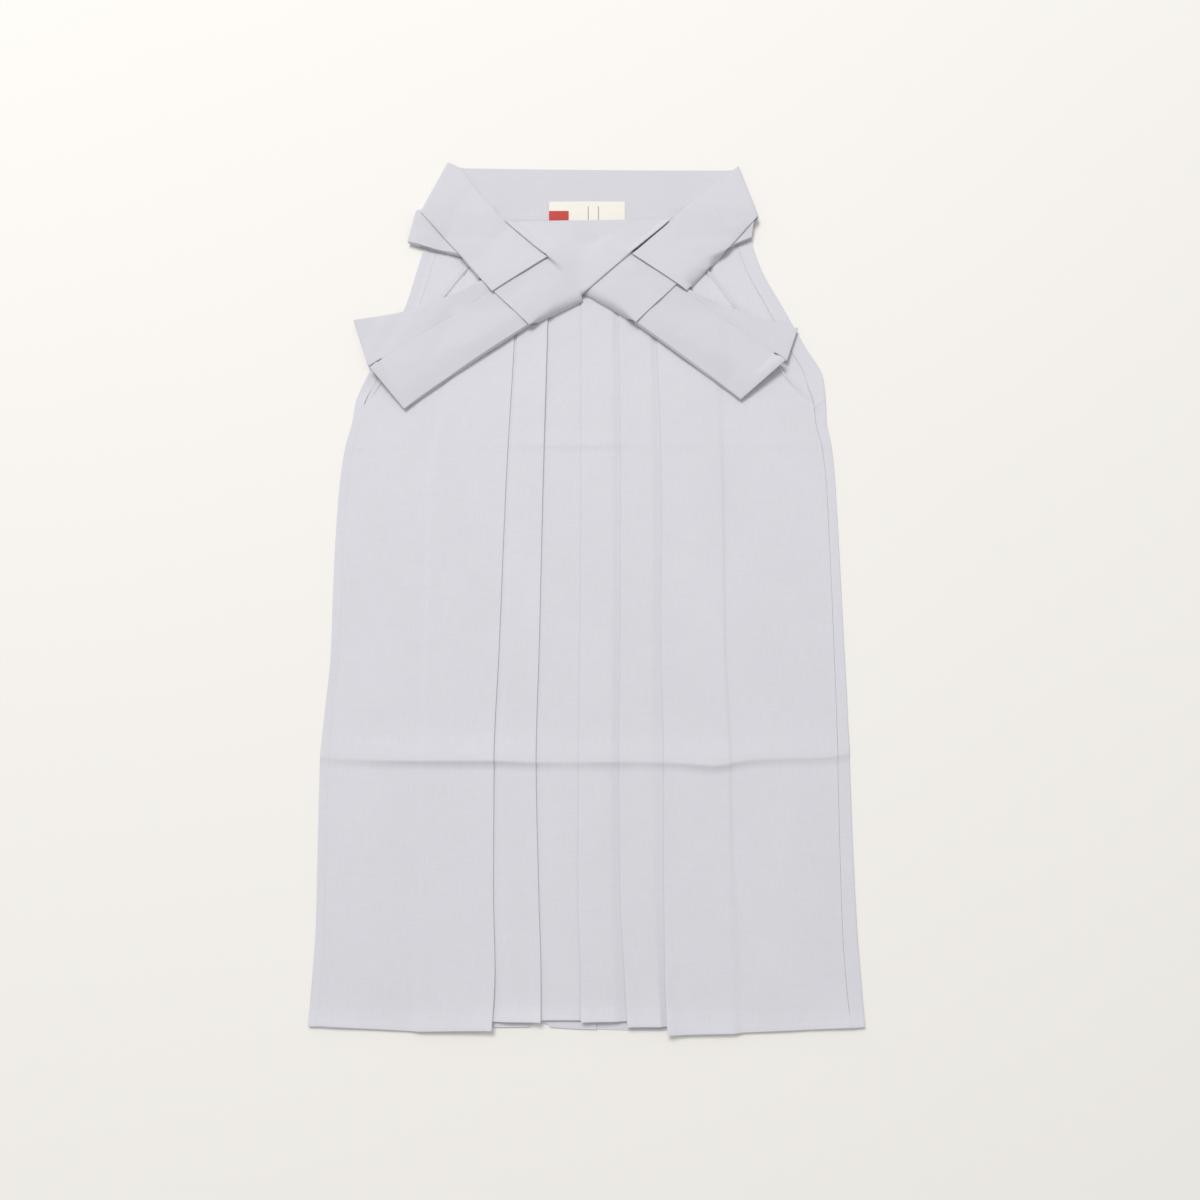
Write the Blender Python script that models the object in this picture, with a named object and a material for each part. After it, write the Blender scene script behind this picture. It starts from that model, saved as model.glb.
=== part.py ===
"""Women's hakama trousers, laid flat on their back with the four ties folded into a cross at the waist.

Lengths are in millimetres and become metres when a mesh is made. X runs across the garment, Y from the hem
to the waist and Z up. Heights along the garment are measured from the lowest point of the front hem.
"""

import bmesh
import bpy
import numpy as np

MM = 0.001

# The cut and its layers.
FULL_LENGTH = 988.4
WALL = 1.0
TIE_WALL = 2.0
GAP = 0.3
PITCH = WALL + GAP
FRONT_TOP = 859.0
BACK_TOP = 915.7
CROTCH_HEIGHT = 430.0
CROTCH_REACH = 15.0
LEG_SPLIT = -50.0
LEG_GAP = 0.4
LEG_CORNER_REACH = 9.0
LEG_CORNER_RISE = 4.0
INNER_LEG_FOLD = 60.0
SEAM_ALLOWANCE = 12.0
INNER_PLEAT_DEPTH = 34.0
SHOULDER = 14.0
HEM_EASE = 22.0
LEAF = 1.3

# Where the back's two side folds lie, from hem to waist.
SIDE_COLUMNS = ("height", "left", "right")
SIDES = (
    (0.0, -297.5, 297.5),
    (22.0, -296.8, 296.8),
    (60.0, -295.0, 295.0),
    (110.0, -293.0, 292.6),
    (200.0, -293.8, 290.6),
    (285.0, -294.5, 289.8),
    (340.0, -291.2, 289.2),
    (410.0, -286.4, 287.6),
    (510.0, -285.8, 285.3),
    (600.0, -282.6, 282.8),
    (643.0, -277.6, 280.0),
    (676.0, -270.0, 274.8),
    (695.0, -267.6, 274.6),
    (725.0, -256.5, 272.6),
    (765.0, -237.0, 252.0),
    (810.0, -213.6, 228.5),
    (859.0, -199.5, 203.2),
    (890.0, -191.0, 193.5),
    (916.0, -186.0, 189.0),
)

# How far the back's cloth turns round each side fold onto the front: up to the side seam, and above the side
# seam as the turned edge of the side opening.
TURN_COLUMNS = ("height", "left", "right")
TURNS = (
    (0.0, 8.2, 15.0),
    (60.0, 9.7, 16.2),
    (200.0, 9.5, 14.1),
    (600.0, 9.7, 10.1),
    (695.0, 10.8, 13.7),
    (725.0, 13.0, 20.0),
    (859.0, 16.0, 17.5),
    (916.0, 16.0, 17.5),
)

# Where the front panels end along the side openings, from the top of the side seams to the waistband.
OPENING_COLUMNS = ("height", "left", "right")
SEAM_TOP = 695.0
OPENINGS = (
    (SEAM_TOP, -256.5, 260.6),
    (725.0, -238.0, 233.0),
    (765.0, -211.0, 204.6),
    (810.0, -180.0, 174.9),
    (859.0, -143.5, 139.5),
)

# The five front pleats: where each fold edge runs at several heights. The first two face right, the rest left.
PLEAT_COLUMNS = ("height", "first", "second", "third", "fourth", "fifth")
PLEATS = (
    (0.0, -100.5, -48.5, -5.8, 43.5, 86.2),
    (60.0, -98.4, -49.0, -6.4, 40.8, 84.0),
    (150.0, -101.2, -52.2, -9.4, 36.2, 83.8),
    (300.0, -102.2, -56.0, -8.8, 35.4, 84.8),
    (411.0, -98.3, -53.6, -7.9, 36.8, 82.6),
    (605.0, -92.5, -50.4, -7.1, 38.3, 84.8),
    (765.0, -85.2, -46.9, -7.5, 36.6, 80.4),
    (859.0, -82.0, -45.0, -7.5, 35.2, 77.5),
)

# Depth of the two outermost pleats, which shallow towards the waist.
DEPTH_COLUMNS = ("height", "first", "fifth")
DEPTHS = ((0.0, 76.0, 69.0), (150.0, 75.0, 70.0), (600.0, 82.0, 66.0), (700.0, 68.0, 62.0), (859.0, 44.0, 46.0))

# Heights of the hems above the lowest point, across the garment.
HEM_COLUMNS = ("across", "height")
LEFT_HEM = ((-290.0, 8.5), (-231.0, 5.4), (-165.0, 3.3), (-113.0, 3.3), (-100.0, 4.9))
RIGHT_HEM = ((86.0, -0.2), (110.0, -0.2), (163.0, 1.7), (195.0, 3.8), (264.0, 6.8))
BACK_HEM = ((-297.5, 8.4), (-100.0, 5.8), (LEG_SPLIT, 5.6), (0.0, 3.8), (80.0, 2.8), (275.0, 6.6), (297.5, 7.8))
STRIP_HEMS = (13.4, 14.9, 13.6, 8.3)

# Creases left by storage run across the whole front as low ridges.
CREASE_COLUMNS = ("height", "rise", "reach")
CREASES = ((286.0, 1.5, 9.0), (643.5, 0.8, 8.0))

BACK_HEIGHTS = (0, 22, 60, 110, 200, 285, 340, 410, 420, 440, 510, 600, 643, 676, 695, 725, 765, 810, 859, BACK_TOP)
FRONT_HEIGHTS = (
    (0, 22, 60, 110, 200, 270, 280, 286, 292, 302, 340, 410, 510, 600)
    + (632, 643.5, 655, 676, 695, 725, 765, 810, FRONT_TOP)
)

# The waistbands, the label and the folded ties. Each row is one cross-section, from the piece's far edge to
# its near edge, and the rows of a piece follow one another along it.
SECTION_COLUMNS = ("far_x", "far_y", "near_x", "near_y")
BACK_BAND = (
    (-165.2, 984.4, -193.0, 926.4),
    (-146.0, 980.6, -170.0, 918.0),
    (-47.0, 979.4, -47.0, 916.0),
    (75.7, 978.9, 75.7, 916.0),
    (163.0, 979.0, 178.0, 917.0),
    (177.2, 979.6, 196.8, 920.2),
)
LABEL = ((-45.4, 942.0, -45.4, 906.0), (-1.0, 942.3, -1.0, 906.0), (43.6, 942.0, 43.6, 906.0))
FRONT_BAND = (
    (-143.5, 912.0, -143.5, 859.4),
    (-100.0, 913.4, -100.0, 859.4),
    (0.0, 915.5, 0.0, 859.4),
    (98.0, 917.4, 98.0, 859.4),
    (139.5, 918.4, 139.5, 859.4),
)
SIDE_LOOP_LEFT = (
    (-201.6, 927.8, -209.6, 888.7),
    (-176.0, 933.0, -180.0, 881.8),
    (-150.0, 932.0, -151.0, 875.0),
    (-112.0, 926.0, -116.0, 866.0),
)
SIDE_LOOP_RIGHT = (
    (199.3, 921.6, 191.8, 891.9),
    (178.0, 929.0, 171.0, 884.7),
    (152.0, 930.0, 146.0, 876.0),
    (112.0, 926.0, 116.0, 866.0),
)
LEFT_ARM_UNDER = (
    (-270.5, 792.3, -251.6, 733.6),
    (-212.0, 804.4, -190.0, 750.0),
    (-170.7, 818.9, -146.0, 764.0),
    (-130.4, 837.2, -104.0, 781.0),
    (-62.0, 868.0, -52.0, 806.0),
)
LEFT_ARM_OVER = (
    (-251.0, 735.0, -207.5, 684.1),
    (-204.0, 765.7, -160.8, 717.8),
    (-157.0, 796.5, -114.0, 751.4),
    (-110.3, 827.4, -67.3, 785.2),
    (-54.0, 861.0, -20.0, 812.0),
)
RIGHT_ARM_UNDER = (
    (243.5, 782.2, 230.0, 740.8),
    (217.4, 792.3, 196.0, 738.0),
    (174.9, 805.6, 150.0, 752.0),
    (115.2, 831.1, 84.0, 780.0),
    (56.0, 866.0, 34.0, 812.0),
)
RIGHT_ARM_OVER = (
    (224.6, 741.2, 175.7, 693.0),
    (180.0, 775.6, 135.8, 724.5),
    (138.0, 807.0, 95.8, 756.0),
    (96.0, 838.0, 55.8, 787.6),
    (50.0, 868.0, 14.0, 811.4),
)
BACK_TIE_LEFT = (
    (-165.0, 988.2, -195.6, 925.3),
    (-148.9, 979.0, -184.0, 912.4),
    (-128.0, 950.0, -166.0, 892.5),
    (-104.0, 921.5, -148.1, 872.4),
    (-74.0, 897.0, -129.0, 849.0),
    (-46.0, 872.0, -110.3, 826.2),
    (-34.0, 860.0, -98.0, 814.0),
)
BACK_TIE_RIGHT = (
    (177.9, 984.0, 200.0, 920.5),
    (168.0, 975.0, 190.0, 909.7),
    (140.0, 951.5, 176.0, 895.0),
    (110.0, 927.0, 161.9, 879.8),
    (80.0, 899.0, 138.0, 855.0),
    (52.7, 872.4, 114.9, 829.0),
    (44.0, 862.0, 104.0, 818.0),
)
WRAP_RIGHT = (
    (102.1, 834.6, 55.7, 787.6),
    (77.0, 852.8, 27.0, 803.3),
    (52.6, 871.0, -1.7, 819.5),
    (26.0, 889.0, -28.0, 838.0),
)
WRAP_CENTRE = (
    (-110.1, 826.1, -66.9, 783.2),
    (-78.0, 847.5, -29.2, 797.6),
    (-46.6, 869.0, -6.3, 808.4),
    (-62.0, 882.0, -8.4, 821.9),
    (-79.0, 897.0, 38.0, 862.0),
    (-96.0, 912.0, 98.0, 915.5),
)
TIE_STEP = 19.0
TIE_COLUMNS = 4


def at(table, columns, name, place):
    """The value of one named column of a table at a place in its first column, between its rows."""
    column = columns.index(name)
    return float(np.interp(place, [row[0] for row in table], [row[column] for row in table]))


def cloth(name, color, roughness=0.9):
    """A plain matt material."""
    material = bpy.data.materials.new(name)
    material.use_nodes = True
    shader = material.node_tree.nodes["Principled BSDF"]
    shader.inputs["Base Color"].default_value = (*color, 1.0)
    shader.inputs["Roughness"].default_value = roughness
    shader.inputs["Metallic"].default_value = 0.0
    return material


def rim_of(rows, columns):
    """The (row, column) pairs round the outside of a grid, in order."""
    last_row = rows - 1
    last_column = columns - 1
    rim = [(0, column) for column in range(last_column)]
    rim += [(row, last_column) for row in range(last_row)]
    rim += [(last_row, column) for column in range(last_column, 0, -1)]
    rim += [(row, 0) for row in range(last_row, 0, -1)]
    return rim


def outward_of(outline):
    """Unit vectors in plan that point away from a closed outline, one for each of its points."""
    after = np.roll(outline, -1, axis=0)
    ahead = after - outline
    ahead /= np.maximum(np.linalg.norm(ahead, axis=1, keepdims=True), 1e-9)
    along = ahead + np.roll(ahead, 1, axis=0)
    outward = np.stack([along[:, 1], -along[:, 0]], axis=1)
    outward /= np.maximum(np.linalg.norm(outward, axis=1, keepdims=True), 1e-9)
    area = np.sum(outline[:, 0] * after[:, 1] - outline[:, 1] * after[:, 0])
    return outward if area > 0 else -outward


def wall(name, top, bottom, material, rim_rows=()):
    """One closed body between two grids of points. Each rim row is (share of the height, outset)."""
    rows, columns = top.shape[:2]
    count = rows * columns
    rim = [row * columns + column for row, column in rim_of(rows, columns)]
    upper = top.reshape(-1, 3)
    lower = bottom.reshape(-1, 3)
    points = [upper, lower]
    rings = [rim]
    if rim_rows:
        outward = outward_of(upper[rim][:, :2])
    for place, (share, outset) in enumerate(rim_rows):
        ring = lower[rim] * (1 - share) + upper[rim] * share
        ring[:, :2] += outward * outset
        points.append(ring)
        first = 2 * count + place * len(rim)
        rings.append(list(range(first, first + len(rim))))
    rings.append([count + index for index in rim])
    faces = []
    for row in range(rows - 1):
        for column in range(columns - 1):
            corner = row * columns + column
            quad = (corner, corner + 1, corner + columns + 1, corner + columns)
            faces.append(quad)
            faces.append(tuple(count + index for index in reversed(quad)))
    for above, below in zip(rings, rings[1:]):
        for here in range(len(rim)):
            there = (here + 1) % len(rim)
            faces.append((above[there], above[here], below[here], below[there]))
    placed = (np.concatenate(points) - (0.0, FULL_LENGTH / 2, 0.0)) * MM
    mesh = bpy.data.meshes.new(name)
    mesh.from_pydata(placed.tolist(), [], faces)
    body = bmesh.new()
    body.from_mesh(mesh)
    bmesh.ops.recalc_face_normals(body, faces=body.faces)
    body.to_mesh(mesh)
    body.free()
    mesh.materials.append(material)
    bpy.context.scene.collection.objects.link(bpy.data.objects.new(name, mesh))


class Stack:
    """How high the cloth already laid down stands over each spot of the floor."""

    CELL = 3.0
    LEFT = -330.0
    LOW = -30.0
    ACROSS = 220
    ALONG = 350
    REACH = 8
    SOFTEN = 2

    def __init__(self):
        self.height = np.zeros((self.ACROSS, self.ALONG))
        self.eased = self.height

    def cells(self, x, y):
        """The map's cells at these places, as two index arrays."""
        across = np.clip(((x - self.LEFT) / self.CELL).astype(int), 0, self.ACROSS - 1)
        along = np.clip(((y - self.LOW) / self.CELL).astype(int), 0, self.ALONG - 1)
        return across, along

    def add(self, top):
        """Lay down a piece, given as its grid of top points."""
        for row in range(top.shape[0] - 1):
            for column in range(top.shape[1] - 1):
                a, b = top[row, column], top[row, column + 1]
                c, d = top[row + 1, column], top[row + 1, column + 1]
                along = int(max(np.linalg.norm(c - a), np.linalg.norm(d - b)) / self.CELL * 1.5) + 2
                across = int(max(np.linalg.norm(b - a), np.linalg.norm(d - c)) / self.CELL * 1.5) + 2
                s, t = np.meshgrid(np.linspace(0, 1, along), np.linspace(0, 1, across))
                s, t = s.reshape(-1, 1), t.reshape(-1, 1)
                spots = a * (1 - s) * (1 - t) + b * t * (1 - s) + c * s * (1 - t) + d * s * t
                np.maximum.at(self.height, self.cells(spots[:, 0], spots[:, 1]), spots[:, 2])
        self.eased = self.spread(self.spread(self.height, self.REACH, np.max), self.SOFTEN, np.mean)

    def spread(self, heights, times, blend):
        """The map with each cell made the highest or the mean of itself and its eight neighbours, so many times."""
        for _ in range(times):
            framed = np.pad(heights, 1, mode="edge")
            near = [framed[i : i + self.ACROSS, j : j + self.ALONG] for i in range(3) for j in range(3)]
            heights = blend(near, axis=0)
        return heights

    def under(self, x, y):
        """The height that a piece rests on at these places, with every step widened and rounded off."""
        return self.eased[self.cells(x, y)]


def crease_rise(height):
    """How far the storage creases lift the front at a height above the hem."""
    return sum(rise * np.exp(-(((height - middle) / reach) ** 2)) for middle, rise, reach in CREASES)


def from_hem(hem, height):
    """Height of a point whose hem stands at hem, for a cross-section of this nominal height."""
    return height + hem * max(0.0, 1 - height / HEM_EASE)


def fold(edge, facing, start, end, normal):
    """Profile points (x, z, x normal, z normal) round a fold whose outside is at edge and faces -1 or 1.

    start and end are the levels of the two layers, and normal is the way the first layer's face looks.
    """
    turn = edge - facing * WALL / 2
    inside = turn - facing * abs(start - end) / 2
    outer = normal * np.sign(start - end)
    return [(inside, start, 0, normal), (turn, (start + end) / 2, facing * outer, 0), (inside, end, 0, -normal)]


def profile_wall(name, heights, profile, material, stack):
    """A wall made of cross-sections along the garment, each a list of (x, z, x normal, z normal, hem)."""
    sections = np.array([profile(height) for height in heights])
    along = np.array([[from_hem(hem, height) for hem in row[:, 4]] for row, height in zip(sections, heights)])
    middle = np.stack([sections[..., 0], along, sections[..., 1]], axis=-1)
    normal = np.stack([sections[..., 2], np.zeros_like(along), sections[..., 3]], axis=-1) * WALL / 2
    wall(name, middle + normal, middle - normal, material)
    stack.add(middle + np.abs(normal))


def back_hem(across):
    """Height of the back's hem, with the corners beside the leg split rounded off."""
    hem = at(BACK_HEM, HEM_COLUMNS, "height", across)
    nearness = max(0.0, 1 - abs(across - LEG_SPLIT) / LEG_CORNER_REACH)
    return hem + LEG_CORNER_RISE * nearness**2


def back_panel(side, material, stack):
    """One leg's back: flat on the floor, folded up at the leg's inner edge and round the side fold."""
    low, high = WALL / 2, WALL / 2 + PITCH
    facing = -1 if side == "left" else 1

    def profile(height):
        outer = at(SIDES, SIDE_COLUMNS, side, height)
        turn = at(TURNS, TURN_COLUMNS, side, height)
        inner = LEG_SPLIT + facing * LEG_GAP / 2
        share = np.clip((CROTCH_HEIGHT + CROTCH_REACH - height) / (2 * CROTCH_REACH), 0, 1)
        tuck = SEAM_ALLOWANCE + (INNER_LEG_FOLD - SEAM_ALLOWANCE) * share
        rows = [(inner + facing * tuck, high, 0, 1), (inner + facing * LEG_CORNER_REACH, high, 0, 1)]
        rows += fold(inner, -facing, high, low, 1)
        rows.append((inner + facing * LEG_CORNER_REACH, low, 0, -1))
        rows.append(((inner + outer) / 2, low, 0, -1))
        rows += fold(outer, facing, low, high, -1)
        rows.append((outer - facing * turn, high, 0, 1))
        return [(*row, back_hem(row[0])) for row in rows]

    profile_wall(f"back_{side}", BACK_HEIGHTS, profile, material, stack)


def front_edge(side, height):
    """Where a front panel ends: at the back's turned edge up to the seam's top, then along the opening."""
    if height > SEAM_TOP:
        return at(OPENINGS, OPENING_COLUMNS, side, height)
    facing = -1 if side == "left" else 1
    return at(SIDES, SIDE_COLUMNS, side, height) - facing * (at(TURNS, TURN_COLUMNS, side, height) + GAP)


def front_levels(height):
    """Middle levels of a pleat's three layers, from the lowest, and of the single layer at the side."""
    rise = crease_rise(height)
    single = WALL + GAP + WALL / 2 + rise
    low = single + PITCH
    return low, low + PITCH, low + 2 * PITCH, single


def front_left(material, stack):
    """The left front: its side, the two pleats that face right, and the strip that runs under the third."""

    def profile(height):
        low, middle, high, single = front_levels(height)
        first, second, third = (at(PLEATS, PLEAT_COLUMNS, name, height) for name in ("first", "second", "third"))
        edge = front_edge("left", height)
        tucked = first - at(DEPTHS, DEPTH_COLUMNS, "first", height)
        shoulder = max(tucked - SHOULDER, edge + 1)
        hems = [at(LEFT_HEM, HEM_COLUMNS, "height", across) for across in (edge, shoulder, first)]
        strip, centre = STRIP_HEMS[:2]
        rows = [(edge, single, 0, 1, hems[0]), (shoulder, single, 0, 1, hems[1])]
        rows.append((tucked - 1.5, high, 0, 1, hems[1]))
        rows += [(*row, hems[2]) for row in fold(first, 1, high, middle, 1)]
        rows += [(*row, strip) for row in fold(tucked, -1, middle, low, -1)]
        rows.append((first + 1.2, low, 0, 1, strip))
        rows.append((second - INNER_PLEAT_DEPTH - 1, high, 0, 1, strip))
        rows += [(*row, strip) for row in fold(second, 1, high, middle, 1)]
        rows += [(*row, centre) for row in fold(second - INNER_PLEAT_DEPTH, -1, middle, low, -1)]
        rows.append((second, low, 0, 1, centre))
        rows.append((third + INNER_PLEAT_DEPTH, low, 0, 1, centre))
        return rows

    profile_wall("front_left", FRONT_HEIGHTS, profile, material, stack)


def front_right(material, stack):
    """The right front: from the seam hidden in the third pleat, over the three pleats, to its side."""

    def profile(height):
        low, middle, high, single = front_levels(height)
        third, fourth, fifth = (at(PLEATS, PLEAT_COLUMNS, name, height) for name in ("third", "fourth", "fifth"))
        edge = front_edge("right", height)
        tucked = fifth + at(DEPTHS, DEPTH_COLUMNS, "fifth", height)
        shoulder = min(tucked + SHOULDER, edge - 1)
        hems = [at(RIGHT_HEM, HEM_COLUMNS, "height", across) for across in (fifth, shoulder, edge)]
        centre, inner, outer = STRIP_HEMS[1:]
        rows = [(third + INNER_PLEAT_DEPTH, middle, 0, -1, centre)]
        rows += [(*row, inner) for row in fold(third, -1, middle, high, -1)]
        rows.append((third + INNER_PLEAT_DEPTH + 1, high, 0, 1, inner))
        rows.append((fourth - 1.2, low, 0, 1, inner))
        rows += [(*row, inner) for row in fold(fourth + INNER_PLEAT_DEPTH, 1, low, middle, 1)]
        rows += [(*row, outer) for row in fold(fourth, -1, middle, high, -1)]
        rows.append((fourth + INNER_PLEAT_DEPTH + 1, high, 0, 1, outer))
        rows.append((fifth - 1.2, low, 0, 1, outer))
        rows += [(*row, outer) for row in fold(tucked, 1, low, middle, 1)]
        rows += [(*row, hems[0]) for row in fold(fifth, -1, middle, high, -1)]
        rows.append((tucked + 1.5, high, 0, 1, hems[1]))
        rows.append((shoulder, single, 0, 1, hems[1]))
        rows.append((edge, single, 0, 1, hems[2]))
        return rows

    profile_wall("front_right", FRONT_HEIGHTS, profile, material, stack)


def plan_of(sections):
    """A grid of places in plan from a tie's cross-sections, in steps of about the tie step."""
    rows = []
    for before, after in zip(sections, sections[1:]):
        before, after = np.array(before), np.array(after)
        longest = max(np.linalg.norm((after - before)[:2]), np.linalg.norm((after - before)[2:]))
        steps = max(1, round(longest / TIE_STEP))
        rows += [before + (after - before) * step / steps for step in range(steps)]
    rows.append(np.array(sections[-1]))
    shares = np.linspace(0, 1, TIE_COLUMNS + 1)[:, None]
    return np.array([row[:2] * (1 - shares) + row[2:] * shares for row in rows])


def draped(name, sections, thickness, material, stack, leaves=1):
    """A flat piece laid over all that is below it. Its rim swells at each leaf and dips between two."""
    plan = plan_of(sections)
    rest = stack.under(plan[..., 0], plan[..., 1])
    bottom = np.concatenate([plan, (rest + GAP * (rest > 0))[..., None]], axis=-1)
    top = bottom + (0, 0, thickness)
    rim = []
    for leaf in range(leaves - 1, -1, -1):
        rim.append(((leaf + 0.5) / leaves, 0.4))
        if leaf:
            rim.append((leaf / leaves, -0.6))
    wall(name, top, bottom, material, rim)
    stack.add(top)


def back_tie(name, sections, material, stack):
    """A back tie: its lip closes the fold at the waistband's end, and then it crosses the front."""
    plan = plan_of(sections)
    rest = stack.under(plan[..., 0], plan[..., 1]) + GAP
    middle = np.concatenate([plan, (rest + TIE_WALL / 2)[..., None]], axis=-1)
    along = sections[0][2] - sections[0][0], sections[0][3] - sections[0][1]
    outward = np.array([along[1], -along[0], 0.0]) / np.hypot(*along)
    outward *= np.sign(np.dot(outward, middle[0, 0] - middle[1, 0]))
    normal = np.zeros_like(middle) + (0, 0, TIE_WALL / 2)
    lip_top = middle[:1].copy()
    lip_top[..., 2] -= TIE_WALL / 2
    lip_foot = lip_top.copy()
    open_fold = lip_top[..., 2] > 2 * TIE_WALL
    lip_foot[..., 2] = np.where(open_fold, lip_top[..., 2] - GAP / 2, GAP / 2)
    middle[0] -= outward * TIE_WALL / 2
    middle = np.concatenate([lip_foot, lip_top, middle])
    sideways = np.zeros_like(lip_foot) + outward * TIE_WALL / 2
    normal = np.concatenate([sideways, sideways, normal])
    wall(name, middle + normal, middle - normal, material)
    stack.add((middle + normal)[2:])


def main():
    for old in list(bpy.data.objects):
        bpy.data.objects.remove(old, do_unlink=True)
    leg = cloth("leg_cloth", (0.58, 0.58, 0.66))
    tie = cloth("tie_cloth", (0.60, 0.60, 0.67))
    tag = cloth("label_cloth", (0.90, 0.88, 0.82), roughness=0.8)
    stack = Stack()
    back_panel("left", leg, stack)
    back_panel("right", leg, stack)
    draped("back_waistband", BACK_BAND, TIE_WALL, tie, stack)
    draped("label", LABEL, WALL, tag, stack)
    front_left(leg, stack)
    front_right(leg, stack)
    draped("front_waistband", FRONT_BAND, TIE_WALL, tie, stack)
    draped("side_loop_left", SIDE_LOOP_LEFT, 3 * LEAF, tie, stack, leaves=2)
    draped("side_loop_right", SIDE_LOOP_RIGHT, 3 * LEAF, tie, stack, leaves=2)
    draped("left_arm_under", LEFT_ARM_UNDER, 2 * LEAF, tie, stack, leaves=2)
    draped("right_arm_under", RIGHT_ARM_UNDER, 2 * LEAF, tie, stack, leaves=2)
    draped("left_arm_over", LEFT_ARM_OVER, 2 * LEAF, tie, stack, leaves=2)
    draped("right_arm_over", RIGHT_ARM_OVER, 2 * LEAF, tie, stack, leaves=2)
    back_tie("back_tie_left", BACK_TIE_LEFT, tie, stack)
    back_tie("back_tie_right", BACK_TIE_RIGHT, tie, stack)
    draped("wrap_right", WRAP_RIGHT, TIE_WALL, tie, stack)
    draped("wrap_centre", WRAP_CENTRE, TIE_WALL, tie, stack)


main()
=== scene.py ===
"""Looks of a pair of women's hakama trousers, laid flat on their back with the ties folded into a cross.

Lengths are in millimetres until a mesh is made. X runs across the garment, Y from the hem to the waist and Z
up. Heights along the garment are measured from the front hem, and the frame says where that hem lies.
"""

import copy
import logging
import math
from collections.abc import Mapping, Sequence
from dataclasses import dataclass, field
from enum import Enum

import bpy
import numpy as np
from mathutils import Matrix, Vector


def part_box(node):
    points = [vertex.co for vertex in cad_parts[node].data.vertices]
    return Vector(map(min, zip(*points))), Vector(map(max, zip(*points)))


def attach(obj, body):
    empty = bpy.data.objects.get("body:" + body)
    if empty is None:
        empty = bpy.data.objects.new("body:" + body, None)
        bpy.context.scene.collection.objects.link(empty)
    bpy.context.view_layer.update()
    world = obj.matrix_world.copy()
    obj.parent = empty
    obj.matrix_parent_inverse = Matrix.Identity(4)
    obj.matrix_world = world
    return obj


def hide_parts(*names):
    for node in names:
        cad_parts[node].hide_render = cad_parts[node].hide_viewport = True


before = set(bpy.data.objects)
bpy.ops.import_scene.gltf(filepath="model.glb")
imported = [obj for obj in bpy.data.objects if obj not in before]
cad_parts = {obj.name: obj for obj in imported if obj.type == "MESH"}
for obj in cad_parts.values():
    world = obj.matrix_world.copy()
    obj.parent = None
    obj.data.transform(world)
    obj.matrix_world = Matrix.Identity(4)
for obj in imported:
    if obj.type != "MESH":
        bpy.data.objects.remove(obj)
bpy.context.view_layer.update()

LOG = logging.getLogger("hakama")
MM = 0.001
LOWEST_HEM = -0.2
HEM_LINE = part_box("front_right")[0].y - LOWEST_HEM * MM
BODY = "root"
UV_NAME = "cloth"

Grid = np.ndarray


class Slot(Enum):
    """The material slots of the garment."""

    LEG = "leg_cloth"
    TIE = "tie_cloth"
    LABEL = "label"


class Side(Enum):
    """A side of the garment, with the way that it faces along X as its value."""

    LEFT = -1
    RIGHT = 1

    @property
    def word(self) -> str:
        """The side's name as it stands in the names of pieces and columns."""
        return self.name.lower()


def ease(share: Grid) -> Grid:
    """A soft step from 0 to 1."""
    share = np.clip(share, 0.0, 1.0)
    return share * share * (3.0 - 2.0 * share)


def length_of(vectors: Grid) -> Grid:
    """The lengths of an array of vectors, never quite 0, with their last axis kept."""
    return np.maximum(np.linalg.norm(vectors, axis=-1, keepdims=True), 1e-9)


class Table:
    """A short table with named columns, read along a smooth curve through its rows."""

    def __init__(self, columns: str, *rows: Sequence[float]) -> None:
        """Keep the rows.

        Args:
            columns: The columns' names, the first being the place that the others are read at.
            rows: One row for each place, in order.
        """
        self.columns = columns.split()
        self.rows = np.array(rows, float)

    def at(self, name: str, place: Grid | float) -> Grid:
        """Read one column between the rows, with no overshoot and level beyond both ends.

        Args:
            name: The column to read.
            place: The places in the first column.

        Returns:
            The column's values at those places.
        """
        places = self.rows[:, 0]
        values = self.rows[:, self.columns.index(name)]
        steps = np.diff(places)
        slopes = np.diff(values) / steps
        before, after = slopes[:-1], slopes[1:]
        same_way = before * after > 0
        total = np.where(same_way, before + after, 1.0)
        inner = np.where(same_way, 2.0 * before * after / total, 0.0)
        tangents = np.concatenate([slopes[:1], inner, slopes[-1:]])
        where = np.clip(place, places[0], places[-1])
        row = np.clip(np.searchsorted(places, where) - 1, 0, len(steps) - 1)
        share = (where - places[row]) / steps[row]
        rise = values[row + 1] - values[row]
        bent = tangents[row] * steps[row] * share * (1 - share) ** 2
        bent -= tangents[row + 1] * steps[row] * share**2 * (1 - share)
        return values[row] + rise * ease(share) + bent


# ---------------------------------------------------------------------------------------------------------
# Sheets of cloth
# ---------------------------------------------------------------------------------------------------------


def tangents_of(points: Grid, axis: int) -> Grid:
    """Directions along one axis of a grid of points, each the mean of the two steps that meet there.

    Args:
        points: The grid of points.
        axis: The axis to go along.

    Returns:
        A vector of length 1 for each point.
    """
    steps = np.diff(points, axis=axis)
    steps = steps / length_of(steps)
    first = np.take(steps, [0], axis=axis)
    last = np.take(steps, [-1], axis=axis)
    both = np.concatenate([first, steps], axis=axis) + np.concatenate([steps, last], axis=axis)
    return both / length_of(both)


def rim_of(rows: int, columns: int) -> tuple[Grid, Grid]:
    """Go once round the outside of a grid.

    Args:
        rows: How many rows it has.
        columns: How many columns it has.

    Returns:
        The row and the column of each point on the way.
    """
    across, along = np.arange(columns - 1), np.arange(rows - 1)
    row = np.concatenate([0 * across, along, 0 * across + rows - 1, along[::-1] + 1])
    column = np.concatenate([across, 0 * along + columns - 1, across[::-1] + 1, 0 * along])
    return row, column


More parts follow.
